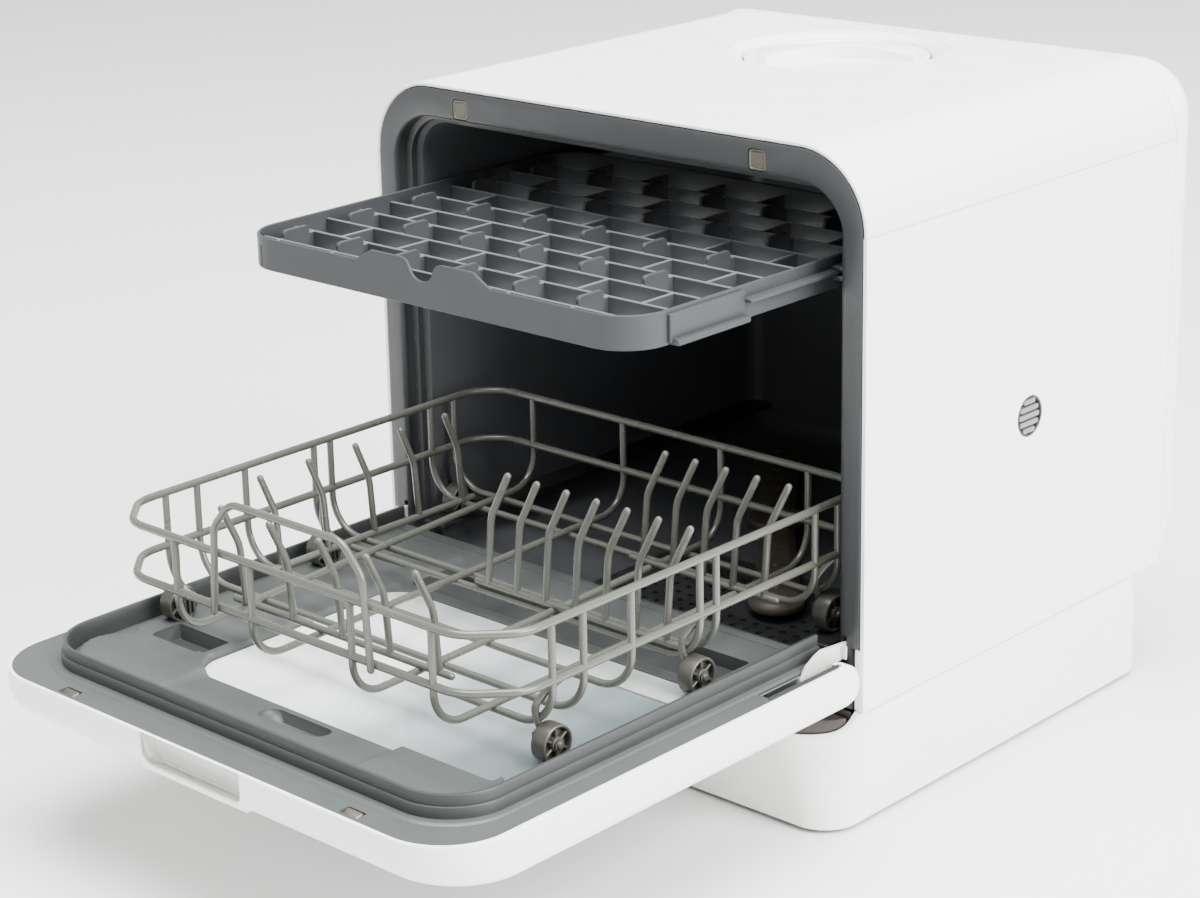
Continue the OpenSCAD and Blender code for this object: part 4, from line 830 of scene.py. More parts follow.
# %% Liner heights
def long_outline(u0, u1, v0, v1, radii, sides=(230, 120), steps=16):
    """A rounded rectangle whose straight stretches are divided too, so that two of them can be blended."""
    corners = outline(u0, u1, v0, v1, radii, steps).reshape(4, steps + 1, 2)
    out = []
    for k in range(4):
        a, b = corners[k][-1], corners[(k + 1) % 4][0]
        t = np.linspace(0, 1, sides[k % 2] + 2)[1:-1, None]
        out += [corners[k], a + (b - a) * t]
    return np.concatenate(out)


def soft_box(x, y, x0, x1, y0, y1, r, width=1.6):
    """1 inside a rounded rectangle and 0 outside, with a smooth step of the width along its edge."""
    dx = np.abs(x - (x0 + x1) / 2) - (x1 - x0) / 2 + r
    dy = np.abs(y - (y0 + y1) / 2) - (y1 - y0) / 2 + r
    d = np.hypot(np.maximum(dx, 0), np.maximum(dy, 0)) + np.minimum(np.maximum(dx, dy), 0) - r
    t = np.clip(0.5 - d / width, 0, 1)
    return t * t * (3 - 2 * t)


def liner_height(x, y):
    """Front plateaus, the sloped recess between them, a raised field at the left and a groove all round.

    It is 4.5 front (1 - middle) + front middle (3 - 3.6 slope) + 2 left - 1.2 groove, in millimetres."""
    front = soft_box(x, y, -178, 178, -325, -264, 34, 2.0)
    middle = soft_box(x, y, -84, 89, -330, -240, 3, 8.0)
    slope = np.clip((y + 312) / 30, 0, 1)
    h = 4.5 * front * (1 - middle) + front * middle * (3.0 - 3.6 * slope)
    h += 2.0 * soft_box(x, y, -176, -102, -262, -34, 4, 2.0)
    h += -1.2 * (soft_box(x, y, -194, 194, -340, 20, 44, 1.5) - soft_box(x, y, -192, 192, -338, 20, 42, 1.5))
    return h


print("the plateaus stand", round(float(liner_height(np.array(-120.0), np.array(-290.0))), 2), "mm high")

# %% [markdown]
# The pockets have steep walls that a height function would smear, so they are cut out of the sheet
# afterwards: a square socket, the long recess behind the window and the finger slot in front of it.

# %% Liner
def liner_part():
    """Rings blended from the door's outline to the window's, lifted by the height function."""
    outer = long_outline(-207.2, 207.2, -358.2, -21.0, [43.2, 43.2, 3, 3])
    inner = long_outline(-100.2, 164.2, -280.2, -101.8, [22, 3, 3, 22])
    rings = [lift(outer * [0.97, 0.99], "z", 103), lift(outer, "z", 115), lift(outer, "z", 116.6)]
    for t in np.linspace(0.002, 1, 84):
        flat = outer * (1 - t) + inner * t
        rings.append(np.column_stack([flat, LINER_Z + liner_height(flat[:, 0], flat[:, 1])]))
    rings += [lift(inner, "z", 112), lift(inner, "z", 103)]
    return loft(rings, along=True)


SOFT_EDGE = 50
liner_skin = piece("liner_skin", [liner_part()], liner_grey_pocket_shade, body="door", replaces=["door_liner"],
                   sharp=SOFT_EDGE)
cut(liner_skin, [block((x - 7.4, x + 7.4), (-356.0, -347.6), (114.6, 125), 0.8) for x in (-LATCH_X, LATCH_X)]
    + block_pair((193, 203.5), (-84, 0), (100, 125), 1)
    + [block((-54, 46), (-370, -341), (90, 115.2), 1.0, 0.4)], sharp=SOFT_EDGE)
slot_rows = [((-6, 39, -299.5, -288, 4), 110.8), ((-13, 41.5, -302, -285, 7), 116.0),
             ((-16, 42, -303, -284.5, 8), 130)]
cut(liner_skin, [plate(outline(-158, -108, -268, -240, 1.5, 5), "z", 108.4, 130, 0.5),
                 plate(outline(-97, 161, -91, -49, 3, 5), "z", 108.0, 130, 0.5),
                 loft([lift(outline(*limits, 6), "z", z) for limits, z in slot_rows], caps=True)],
    sharp=SOFT_EDGE)

# %% [markdown]
# ## Catches and hinge wells on the door
# Two sprung latch plates stand in slots of the liner's front edge, tilted so that the door snaps
# shut. Beside the liner run the wells of the hinge arms: a black floor with two screw heads and a
# bright steel strap on each side. Small blocks and turned heads with soft rims carry all of it.

# %% Door catches
def door_catch(x):
    """A flat latch plate in its slot, tilted so that its front edge lies lower than its back edge."""
    rows = [(5.6, -354.0, -349.6, 114.8, 115.0), (6.0, -354.6, -348.9, 115.6, 116.9),
            (5.6, -354.0, -349.4, 116.1, 117.4)]
    rings = []
    for h, y0, y1, z0, z1 in rows:
        flat = outline(x - h, x + h, y0, y1, 0.8, 5)
        rings.append(np.column_stack([flat, z0 + (z1 - z0) * (flat[:, 1] - y0) / (y1 - y0)]))
    return loft(rings, caps=True)


piece("door_catch_pair", [door_catch(x) for x in (-LATCH_X, LATCH_X)], nickel, body="door",
      replaces=["door_catches"])

# %% Hinge wells
screw_head = [(2.6, 105.8), (2.6, 107.3), (2.0, 107.9), (0.4, 107.9)]
well_parts = block_pair((193.3, 203.2), (-83.5, -24), (103.2, 106.0), 0.8, 0.3)
well_parts += [lathe(screw_head, (s * 199.5, y), 24) for s in SIDES for y in (-72, -52)]
piece("hinge_well_plates", well_parts, rail_black, body="door")
piece("hinge_straps", block_pair((193.6, 195.0), (-82, -30), (106.0, 115.4), 0.3, 0.3), steel, body="door")
piece("hinge_slot_ridges", [side_block(s, (x, x + 0.8), (-85, -17), (116.2, 117.9), 0.3, 0.3)
                            for s in SIDES for x in (203.8, 205.5)], rim_grey, body="door")

# %% [markdown]
# ## The raised rim and its seal
# The rim runs round three sides, and the soft lip of the seal stands on it. It is one profile
# carried along a U. A curve with a bevel object would pinch in the bends; here each profile point
# has its own U, drawn in by the point's distance, so the corners keep their centre.

# %% Rim bands
def u_path(draw, z):
    """The rim's line at one distance from its outer face, from the hinge end round the front and back."""
    half, front, r = 187.0 - draw, -333.0 + draw, 40.0 - draw
    right = arc((half - r, front + r), r, 0, -90, 18)
    flat = np.concatenate([[[half, -14.0]], right, right[::-1] * [-1, 1], [[-half, -14.0]]])
    return lift(flat, "z", z)


def u_band(profile):
    """A closed profile of (distance, height) pairs carried along the U, with both ends closed."""
    return band([u_path(d, z) for d, z in profile[::-1]])


rim_profile = [(5, 116.5), (0, 116.5), (0, 122.8), (0.4, 123.7), (1.2, 124.1), (5, 124.1)]
lip_profile = [(4.6, 124.0), (1.5, 124.0), (1.3, 125.2), (1.6, 126.4), (1.3, 129.8), (1.9, 130.8),
               (2.8, 131.0), (4.0, 130.8), (4.6, 129.8)]
piece("rim_lower_band", [u_band(rim_profile)], rim_grey, body="door")
piece("rim_upper_band", [u_band(lip_profile)], seal_grey, body="door", replaces=["door_gasket"])

# %% [markdown]
# ## The window
# The window is a clear pane, and from above it looks almost white on one side, where the pale floor
# shows through, and slate blue on the other, where it reflects. Real glass would need many light
# bounces, so that light and reflection are painted: a ramp of colour along x under a clear coat.

# %% Window finishes
DOT_SCALE = 620.0  # cells a metre: frosting dots 1.6 mm apart, coarser than the real ones


def window_painted_light():
    """Painted light and reflection: a ramp of colour along x under a clear coat, with slow changes of gloss.
    """
    material, tree, shader = new_material("acrylic_window_painted_light")
    place = add(tree, "ShaderNodeTexCoord").outputs["Object"]
    split = add(tree, "ShaderNodeSeparateXYZ", {"Vector": place})
    drift = add(tree, "ShaderNodeTexNoise", {"Vector": place, "Scale": 7.0, "Detail": 1.0})
    bend = add(tree, "ShaderNodeMath", {0: drift.outputs["Fac"], 1: 0.10, 2: split.outputs["X"]},
               operation="MULTIPLY_ADD")
    along = add(tree, "ShaderNodeMapRange", {"Value": bend.outputs[0], "From Min": -0.06, "From Max": 0.21})
    ramp = add(tree, "ShaderNodeValToRGB", {"Fac": along.outputs["Result"]})
    # Painted light and reflection: from the pale floor seen through the pane to a slate blue reflection.
    stops = ((0.0, "f0f3f3"), (0.35, "e6eaea"), (0.62, "a8b0b1"), (1.0, "667172"))
    for _ in stops[2:]:
        ramp.color_ramp.elements.new(0.5)
    for stop, (position, code) in zip(ramp.color_ramp.elements, stops):
        stop.position, stop.color = position, linear(code)
    tree.links.new(ramp.outputs["Color"], shader.inputs["Base Color"])
    slow = add(tree, "ShaderNodeTexNoise", {"Vector": place, "Scale": 25.0, "Detail": 2.0})
    gloss = add(tree, "ShaderNodeMapRange", {"Value": slow.outputs["Fac"], "To Min": 0.1, "To Max": 0.2})
    tree.links.new(gloss.outputs["Result"], shader.inputs["Roughness"])
    shader.inputs["Coat Weight"].default_value = 0.6
    shader.inputs["Coat Roughness"].default_value = 0.04
    return material


def dotted_finish():
    """Pale frosted plastic with fine raised dots: the cells of a regular pattern."""
    material = plastic("acrylic_frosted", "a9b0ab", rough=0.3, bump=0.02, mottle=0.02)
    tree, shader, place = opened(material)
    dots = add(tree, "ShaderNodeTexVoronoi", {"Vector": place, "Scale": DOT_SCALE, "Randomness": 0.0})
    relief = add(tree, "ShaderNodeBump", {"Height": dots.outputs["Distance"], "Strength": 0.6,
                                         "Distance": 0.0006})
    tree.links.new(relief.outputs["Normal"], shader.inputs["Normal"])
    return material


print("frosting dots every", round(1000 / DOT_SCALE, 1), "mm")


# %% Window panes
def window_pane(low, high):
    """A thin pane between two heights with softened rims."""
    rows = ((-0.4, low), (-0.2, low + 0.2), (-0.2, high - 0.2), (-0.4, high))
    return loft([window_ring(*row) for row in rows], caps=True)


piece("window_panes", [window_pane(112.6, 115.4), window_pane(87.6, 91.0)], window_painted_light(), body="door",
      replaces=["door_window"])
band_plan = outline(-99.4, 163.4, -128.0, -102.6, 1.5, 5)
piece("window_band", [plate(band_plan, "z", 115.4, 116.9, 0.8)], dotted_finish(), body="door")

# %% [markdown]
# ## Hinge arms
# Each hinge arm is stamped from painted steel: a strap along the door's floor with a curved ear that
# reaches into the cabinet. A stamping has one thickness, so its side view with rounded corners is
# carried through 2.6 mm. A small flange stands at the end of each ear.

# %% Hinge arms
EAR = [(-84, 89.6), (-22, 89.6), (-17.2, 92), (-17.2, 98), (-19, 104), (-18, 110), (-13, 114),
       (-4, 114.6), (3, 114.4), (11.6, 112.8), (12, 122), (6, 123.8), (-7.7, 125.3), (-23, 126.4),
       (-30, 124.3), (-38.3, 119.8), (-43.3, 113.3), (-44, 101), (-50, 99.6), (-84, 99.6)]
arm_side = fillet([(*p, 0) for p in EAR + EAR[:1]], 3.0, 5)[:-1, :2]
piece("hinge_arm_pair", [plate(arm_side, "x", x - 1.3, x + 1.3, 0.3) for x in (-HINGE_X, HINGE_X)]
      + block_pair((196.0, 200.6), (-5.2, -3.8), (115.5, 124.2), 0.3, 0.3),
      hinge_white, body="door", replaces=["door_hinge_arms"])

# %% [markdown]
# ## The dish basket
# The basket is bent and welded from coated wire. Its two rails are closed loops with cut corners,
# and the other wires run under the dishes from rail to rail. Skinned edges would give square knots,
# so every wire is one swept tube along its own path, and crossing wires touch as welded ones do.

# %% Basket wires
WIRE_R, RAIL_R = 2.35, 2.6
RAIL_Z, LOW_RAIL_Z = 204.5, 169.0
BASKET_X, BASKET_FRONT, BASKET_BACK = 170, -284, 61
CROSS_Z, LONG_Z = 138.5, 141.7
SIDE_YS = [-235, -209, -168, -107, -92, 3, 26]
FRONT_XS, BACK_XS = [-101, -31, 57, 124], [-126, -41, 46, 119]


def bent_wire(points, bend, steps=10):
    """A wire with rounded ends along a path, its corners turned with one bend radius."""
    return tube(fillet(points, bend, steps), WIRE_R, 12, round_ends=True)


def rail(z):
    """A closed rail loop at a height, its corners cut and each bend rounded."""
    right = [(0, BASKET_FRONT), (143, BASKET_FRONT), (BASKET_X, -257), (BASKET_X, 43), (152, BASKET_BACK)]
    left = [(-x, y) for x, y in right[::-1]]
    return tube(fillet([(*p, z) for p in right + left], 26, 5)[:-1], RAIL_R, 14, closed=True)


def cross_wire(y):
    """From the left rail down, under the dishes and up to the right rail, with round bends of 26 mm."""
    half = [(BASKET_X, y, CROSS_Z), (BASKET_X, y, RAIL_Z)]
    return bent_wire([(-x, y, z) for x, y, z in half[::-1]] + half, 26)


def long_wire(front_x, back_x):
    """From the front rail down, along the floor and up to the back rail."""
    return bent_wire([(front_x, BASKET_FRONT, RAIL_Z), (front_x, BASKET_FRONT, LONG_Z),
                      (back_x, BASKET_BACK, LONG_Z), (back_x, BASKET_BACK, RAIL_Z)], 23)


piece("basket_rails", [rail(RAIL_Z), rail(LOW_RAIL_Z)], wire, body="basket",
      replaces=["basket_side_left", "basket_side_right", "basket_front_wires", "basket_back_wires"])
piece("basket_wires", [cross_wire(y) for y in SIDE_YS] + [long_wire(*p) for p in zip(FRONT_XS, BACK_XS)],
      wire, body="basket", replaces=["basket_floor"])
hoop = [(x, -288, z) for x, z in ((-61, 167), (-57, 223), (-41, 241), (57, 241), (73, 223), (77, 167))]
piece("basket_hoop", [bent_wire(hoop, 16, 6)], wire, body="basket", replaces=["basket_handle"])

# %% [markdown]
# ## Plate tines
# The tines hold the plates apart. They stand on a foot wire and lean, with a bend above the middle
# and a rounded tip. An array modifier would space them evenly along one line only, so each row is a
# list of feet instead, and every tine's path follows from its foot and the lean.

# %% Tines
def tines(feet, lean, top, foot_z):
    """The wire under the row, and one tine per foot, which leans by a fifth at 0.6 of its height."""
    feet = np.array(feet, float)
    along = (feet[-1] - feet[0]) / np.linalg.norm(feet[-1] - feet[0]) * 10
    ends = [(*(feet[0] - along), foot_z), (*(feet[-1] + along), foot_z)]
    parts = [tube(ends, WIRE_R, 10, round_ends=True)]
    bend_z = foot_z + (top - foot_z) * 0.6
    for x, y in feet:
        path = [(x + share * lean[0], y + share * lean[1], z)
                for share, z in ((0, foot_z), (0.2, bend_z), (1, top))]
        parts.append(tube(fillet(path, 30), WIRE_R, 10, round_ends=True))
    return parts


ON_CROSS = 144.9
rows = {"middle": ([(x, -108) for x in range(-6, 145, 25)], (20, 0), 222, ON_CROSS),
        "back": ([(x, -13) for x in range(42, 143, 25)], (20, 0), 222, ON_CROSS),
        "front": ([(x, -229) for x in (-102, -57, -12, 30, 72)], (0, -16), 212, ON_CROSS),
        "left": ([(-138, y) for y in (-168, -126, -84, -42, 0)], (0, -14), 207, LONG_Z)}
for name, row in rows.items():
    piece(f"tines_{name}", tines(*row), wire, body="basket", replaces=[f"tine_row_{name}"])

# %% [markdown]
# ## The wheels
# Six small wheels carry the basket. Each is a moulded tyre, a thin web, six spokes and a hub.
# A single turned solid would lose the spokes, which show even from afar. So three rings are turned
# about the axle, and each spoke is a short block between them.

# %% Wheels
WHEEL_X, WHEEL_Z, WHEEL_YS = 166, 129.3, (-233, -106, 24)


def turned(part, centre):
    """A part laid over so that its upright axis runs along x, through the centre."""
    p, faces = part
    return np.column_stack([p[:, 2], p[:, 0], p[:, 1]]) + centre, faces


def wheel(centre):
    """Tyre, recessed web, spokes and hub as turned and lofted rings, 11 mm wide."""
    tyre = [(10.1, -4.9), (10.1, 4.9), (10.5, 5.4), (11.2, 5.5), (11.8, 5.1), (12.0, 4.3), (12.0, -4.3),
            (11.8, -5.1), (11.2, -5.5), (10.5, -5.4)]
    hub = [(3.15, -5.2), (3.15, 5.2), (3.7, 5.5), (4.4, 5.2), (4.6, 4.6), (4.6, -4.6), (4.4, -5.2),
           (3.7, -5.5)]
    web = [(4.4, -1.0), (4.4, 1.0), (10.3, 1.0), (10.3, -1.0)]
    parts = [ring_lathe(profile, (0, 0), 56) for profile in (tyre, hub, web)]
    spoke, faces = block((4.3, 10.4), (-0.75, 0.75), (-4.2, 4.2), 0.3, 0.3)
    for angle in np.radians(60 * np.arange(6) + 30):
        c, s = math.cos(angle), math.sin(angle)
        parts.append((spoke @ np.array([[c, -s, 0], [s, c, 0], [0, 0, 1]]).T, faces))
    return [turned(part, centre) for part in parts]


for side, sign in (("left", -1), ("right", 1)):
    for place, y in zip(("front", "middle", "back"), WHEEL_YS):
        piece(f"wheel_{side}_{place}_moulded", wheel((sign * WHEEL_X, y, WHEEL_Z)), wheel_grey,
              body=f"roller_{side}_{place}", replaces=[f"wheel_{side}_{place}"])

# %% [markdown]
# A clip with three teeth snaps onto the wire and holds the wheel's pin. The wire that carries it bows
# down from the lower rail. The clips look alike from both sides, so one is made and mirrored.

# %% Clips and hangers
def clip(sign, y):
    """A wheel's carrier: a small toothed block on its inner side, the pin and the pin's domed end."""
    parts = [side_block(sign, (156.6, 160.1), (y - 5.2, y + 5.2), (122.6, 136.5), 1.4, 0.6)]
    parts += [side_block(sign, (154.6, 157.0), (y + k - 0.9, y + k + 0.9), (124.5, 134.0), 0.4, 0.3)
              for k in (-3.6, 0, 3.6)]
    pin = [(2.9, -9.6), (2.9, 5.6), (3.6, 5.9), (3.6, 6.6), (2.6, 6.8), (2.6, 7.2), (2.1, 8.0), (1.0, 8.35),
           (0.3, 8.4)]
    points, faces = turned(lathe(pin, (0, 0), 32), (0, 0, 0))
    return parts + [(points * [sign, 1, 1] + (sign * WHEEL_X, y, WHEEL_Z), faces)]


def hanger(sign, y):
    """The wire that carries a wheel: from under the lower rail it bows forward and down into the clip."""
    path = [(169.6, 3, 167.5), (163.5, -1.5, 160), (158.6, -6.0, 151), (158.2, -3.0, 142), (158.3, 0, 134)]
    return bent_wire([(sign * px, y + py, pz) for px, py, pz in path], 14, 6)


wheel_places = [(sign, y) for sign in SIDES for y in WHEEL_YS]
piece("wheel_clip_set", sum([clip(*place) for place in wheel_places], []), clip_grey, body="basket",
      replaces=["wheel_clips"])
piece("wheel_hangers", [hanger(*place) for place in wheel_places], wire, body="basket")

# %% [markdown]
# ## The cutlery tray
# The tray is one grey moulding. Its wall is a closed band whose upper edge follows a height function:
# two humps and a round notch in the middle of its front. A boolean could cut the notch, but then the
# lip's soft edge would stop at it, and here it runs on through.

# %% Tray wall
TRAY_TOP, TRAY_LOW, TRAY_Y, TRAY_HALF, TRAY_R = 362.5, 341.5, (-163.0, 147.0), 169, 30.0
NOTCH_R = 11


def tray_outline(draw):
    """The tray's plan, with its straight sides divided finely enough to carry the lip."""
    return long_outline(-TRAY_HALF + draw, TRAY_HALF - draw, TRAY_Y[0] + draw, TRAY_Y[1] - draw,
                        TRAY_R - draw, (140, 10), 12)


def lip_height(x, y):
    """Height of the upper edge: 8 mm more across the front, ramped at the ends, with a round notch."""
    a = np.abs(x)
    up = 8 * np.clip((58 - a) / 14, 0, 1)
    notch = np.where(a < NOTCH_R, 357.5 + NOTCH_R - np.sqrt(np.maximum(NOTCH_R ** 2 - a * a, 0)), 1e3)
    side = np.where((a >= NOTCH_R) & (a < 17), 357.5 + NOTCH_R + (a - NOTCH_R) * 0.33, 1e3)
    level = np.minimum(TRAY_TOP + up, np.minimum(notch, side))
    return np.where(y < -140, level, TRAY_TOP)


def tray_wall():
    """Outside up, over the edge and down the inside, as one closed band: (draw, height) of each row.

    A row without a height of its own lies at the lip's height, moved by the third number."""
    rows = [(0.5, TRAY_LOW, 0), (0, TRAY_LOW + 0.6, 0), (0, None, -0.5), (0.4, None, 0), (1.6, None, 0),
            (2.0, None, -0.5), (2.0, TRAY_LOW + 0.6, 0), (1.5, TRAY_LOW, 0)]
    rings = []
    for draw, z, up in rows:
        flat = tray_outline(draw)
        rings.append(lift(flat, "z", lip_height(flat[:, 0], flat[:, 1]) + up if z is None else z))
    return loft(rings, along=True)


def tray_flanges():
    """The side flanges that slide in the rails, the stop blocks before them and the side plates."""
    parts = []
    for s in SIDES:
        parts.append(side_block(s, (167.4, 175.9), (-65, 117), (352.6, 355.0), 1.0, 0.5))
        parts.append(side_block(s, (167.4, 175.9), (-130, -65), (341.6, 345.5), 1.0, 0.5))
        parts.append(side_block(s, (168.6, 171.4), (TRAY_Y[0] + 31, -65), (343.0, 360.2), 0.8, 0.5))
    return parts


piece("tray_frame", [tray_wall()] + tray_flanges(), tray_grey, body="tray", replaces=["cutlery_tray"])

# %% [markdown]
# ## Slats and tabs
# The slats stand on edge in a brick pattern and part the cutlery. Each is a thin bar with a rounded
# top edge, and every second row carries upright tabs with round shoulders. The top edges catch more
# light than the walls, and the height ramp paints that: pale on the last millimetre, dark below it.

# %% Slats and tabs
ROW, CELL, SLAT, FIRST_X = 29, 51.5, 2.2, 5
SLAT_YS = [TRAY_Y[0] + 17 + ROW * k for k in range(11) if TRAY_Y[0] + 17 + ROW * k <= 139]


def tray_half(y):
    """Half the tray's inner width at a depth: 138 + sqrt(29^2 - d^2), d mm past the start of a corner."""
    d = max(TRAY_Y[0] + 30 - y, y - (TRAY_Y[1] - 30), 0)
    return 168 - 30 + math.sqrt(max(29 ** 2 - d * d, 0))


def bar(x, y):
    """A short slat along y that reaches from one long slat into the next."""
    return block(x, y, (342.6, 357.4), 0.6, 0.5)


def tab(x, y):
    """An upright tab along y with round upper corners, standing on the slats' level."""
    side = outline(y, y + 22, 342.6, TRAY_TOP, [0.5, 0.5, 3, 3], 5)
    return plate(side, "x", x - 0.3, x + 2.5, 0.4)


bars = [block((-tray_half(y), tray_half(y)), (y, y + SLAT), (342.5, 357.5), 0.6, 0.5) for y in SLAT_YS]
for row, y in enumerate(SLAT_YS):
    for i in range(-4, 4):
        x = (i + row % 2 * 0.5) * CELL + FIRST_X
        if abs(x) < tray_half(min(y + ROW, 140)) - 4 and y + 31 < TRAY_Y[1]:
            bars.append(bar((x, x + SLAT), (y + 0.5, y + 30)))
front_xs = [i * CELL + FIRST_X for i in range(-3, 3)]
bars += [bar((x, x + SLAT), (TRAY_Y[0] + 1, TRAY_Y[0] + 18)) for x in front_xs]
tabs = [tab(x, y + 3.2) for y in SLAT_YS[::2] for x in front_xs if y + 26 < TRAY_Y[1]]
# Painted highlight and shade: the slats' top edges stay pale, and their walls are darkened by height.
slat_grey_painted_edge_light = shade_by_height(plastic("pp_grey_slats_painted_edge_light", "5a5d60", rough=0.36, bump=0.04, mottle=0.03, shine=0.3),
                            0.3566, 0.3574, 0.36)
piece("tray_slats", bars, slat_grey_painted_edge_light, body="tray")
piece("tray_tabs", tabs, tray_grey, body="tray")

# %% [markdown]
# ## Rails and tracks
# Two thin ribs on each wall of the tub guide the tray, and a flat track below carries the wheels.
# They are straight extrusions, so blocks with soft rims do.

# %% Tray rails and basket tracks
RAIL_REACH = 179.9
wall_rails = []
for s in SIDES:
    wall_rails += [side_block(s, (172, RAIL_REACH), (16, 370), z, 1.0, 0.6)
                   for z in ((349.2, 352.2), (355.3, 358.3))]
    wall_rails.append(side_block(s, (160, RAIL_REACH), (2, 370), (113, 117), 1.0, 0.6))
piece("tub_rail_set", wall_rails, rail_black, replaces=["tub_rails"])

# %% [markdown]
# ## The spray arm
# The spray arm is a hollow paddle with broad ends that turns on its hub. A box with a Subdivision
# modifier could be pulled to this shape by hand. Here the plan's half width is a function of the
# distance from the hub, and the loft's rows draw it in over the crowned top. The nozzles are rings.

# %% Spray arm
SPRAY_ANGLE, ROUND_FROM = math.radians(-51.6), 0.88


def arm_plan(draw, reach=168.0, steps=24):
    """Half width 13 + 9 |s|^3 at the share s of the reach, closed by round ends, drawn in and turned."""
    s = np.linspace(-ROUND_FROM, ROUND_FROM, steps)
    half = 13 + 9 * np.abs(s) ** 3 - draw
    upper = np.column_stack([s * reach, half])
    tip = arc((0, 0), 1.0, 90, -90, 12)[1:-1] * [(1 - ROUND_FROM) * reach - draw, half[-1]]
    tip += [ROUND_FROM * reach, 0]
    loop = np.concatenate([upper, tip, upper[::-1] * [1, -1], tip[::-1] * [-1, 1]])[::-1]
    c, sn = math.cos(SPRAY_ANGLE), math.sin(SPRAY_ANGLE)
    return loop @ np.array([[c, sn], [-sn, c]]) + SPRAY_AXIS


arm_rows = [(2.0, 102.6), (0.4, 103.2), (0, 104.2), (0, 106.4), (0.5, 107.2), (1.6, 107.4), (3.4, 109.4),
            (6.5, 110.6)]
nozzle = [(3.4, 109.6), (3.4, 111.2), (2.9, 111.6), (1.6, 111.6), (1.4, 110.6)]
hub = [(21, 108.0), (21, 111.0), (20.2, 111.8), (14, 112.0), (12.5, 111.2), (4, 111.2)]
arm_dir = np.array([math.cos(SPRAY_ANGLE), math.sin(SPRAY_ANGLE)])
arm_parts = [loft([lift(arm_plan(d), "z", z) for d, z in arm_rows], caps=True)]
arm_parts += [lathe(nozzle, np.array(SPRAY_AXIS) + arm_dir * k, 28) for k in (-146, -104, -64, 52, 92, 134)]
arm_parts.append(lathe(hub, SPRAY_AXIS, 64))
piece("spray_paddle", arm_parts, arm_brown, body="spray_rotor", replaces=["spray_arm"])

# %% [markdown]
# ## The filler on top
# A shallow white ring is let into the top, and a round cap with a waisted grip sits in it. The ring
# and the cap's disc are turned profiles. A thin grey ring at the foot of the gap between them is
# painted shade, which keeps that gap readable, white on white.

# %% Filler ring and cap
funnel_profile = [(78, 424), (78, 434.4), (77.4, 434.9), (76.4, 435.0), (75.2, 434.7), (67.6, 431.4),
                  (66.9, 430.4), (66.6, 426.5), (65, 426.3), (43, 426.3), (42.6, 425.8), (42.6, 415.2),
                  (42.4, 412.7), (77.8, 412.7)]
cap_profile = [(64.5, 427.2), (64.5, 430.0), (64.0, 430.7), (62.8, 431.0), (60.6, 431.0), (59.6, 430.6),
               (58.6, 429.4), (58.0, 429.0), (3, 429.0), (3, 427.2)]
piece("filler_ring", [ring_lathe(funnel_profile[::-1], FILL), lathe([(42.6, 412.7), (42.6, 415.0)], FILL)],
      white, replaces=["fill_funnel"])


def grip_part(angle=43.0, reach=55.0, steps=57):
    """Cross-sections along the grip's own axis, which is turned by the angle in plan.

    The half width at the distance s is 5.5 + 22 |s / reach|^1.8, but never past a circle of 57.5 mm.
    The crown's height is 439.5 - 6 (s / reach)^2, and it drops by 2 mm over the last 3 mm of each end."""
    s = np.linspace(-reach, reach, steps)
    half = np.minimum(5.5 + 22 * np.abs(s / reach) ** 1.8, np.sqrt(57.5 ** 2 - s ** 2))
    crown = 439.5 - 6.0 * (s / reach) ** 2 - 2.0 * np.clip((np.abs(s) - reach + 3) / 3, 0, 1) ** 2
    section = np.array([(-1.0, -12), (-0.99, -2.4), (-0.96, -0.9), (-0.9, -0.2), (0, 0), (0.9, -0.2),
                        (0.96, -0.9), (0.99, -2.4), (1.0, -12)])
    across = half[:, None] * section[:, 0]
    height = np.maximum(crown[:, None] + section[:, 1], 428.6)
    c, sn = math.cos(math.radians(angle)), math.sin(math.radians(angle))
    x, y = s[:, None] * c - across * sn, s[:, None] * sn + across * c
    return loft(np.stack([FILL[0] + x, FILL[1] + y, height], -1), caps=True)


piece("filler_cap_skin", [ring_lathe(cap_profile[::-1], FILL), grip_part()], white, body="filler_cap",
      replaces=["fill_cap"])
# Painted shade: a grey ring at the foot of the gap between the cap and the ring.
piece("filler_gap_shade", [ring_lathe([(64.8, 426.2), (66.8, 426.2), (66.8, 427.0), (64.8, 427.0)], FILL)],
      shadow_grey)

# %% [markdown]
# ## The vent in the side
# Five level bars lie in a thin ring over a dark hole. The ring is turned about the upright line as
# the others are, and then laid over so that it faces sideways, together with a dark disc behind it
# that paints the hole's shade.

# %% Vent grille
VENT_Y, VENT_Z, VENT_R = 176, 230, 12.6


def vent_bar(offset):
    """A level bar 3.3 mm high, whose half length is sqrt(VENT_R^2 - offset^2) - 1.5."""
    half = math.sqrt(VENT_R ** 2 - offset ** 2) - 1.5
    middle = VENT_Z + offset
    flat = outline(VENT_Y - half, VENT_Y + half, middle - 1.65, middle + 1.65, 1.2, 6)
    return plate(flat, "x", 207.9, 209.8, 0.4)


vent_profile = [(13.7, 207.6), (13.7, 209.6), (13.3, 210.0), (VENT_R, 210.0), (12.3, 209.6), (12.3, 207.6)]
vent_ring = turned(ring_lathe(vent_profile[::-1], (0, 0), 64), (0, VENT_Y, VENT_Z))
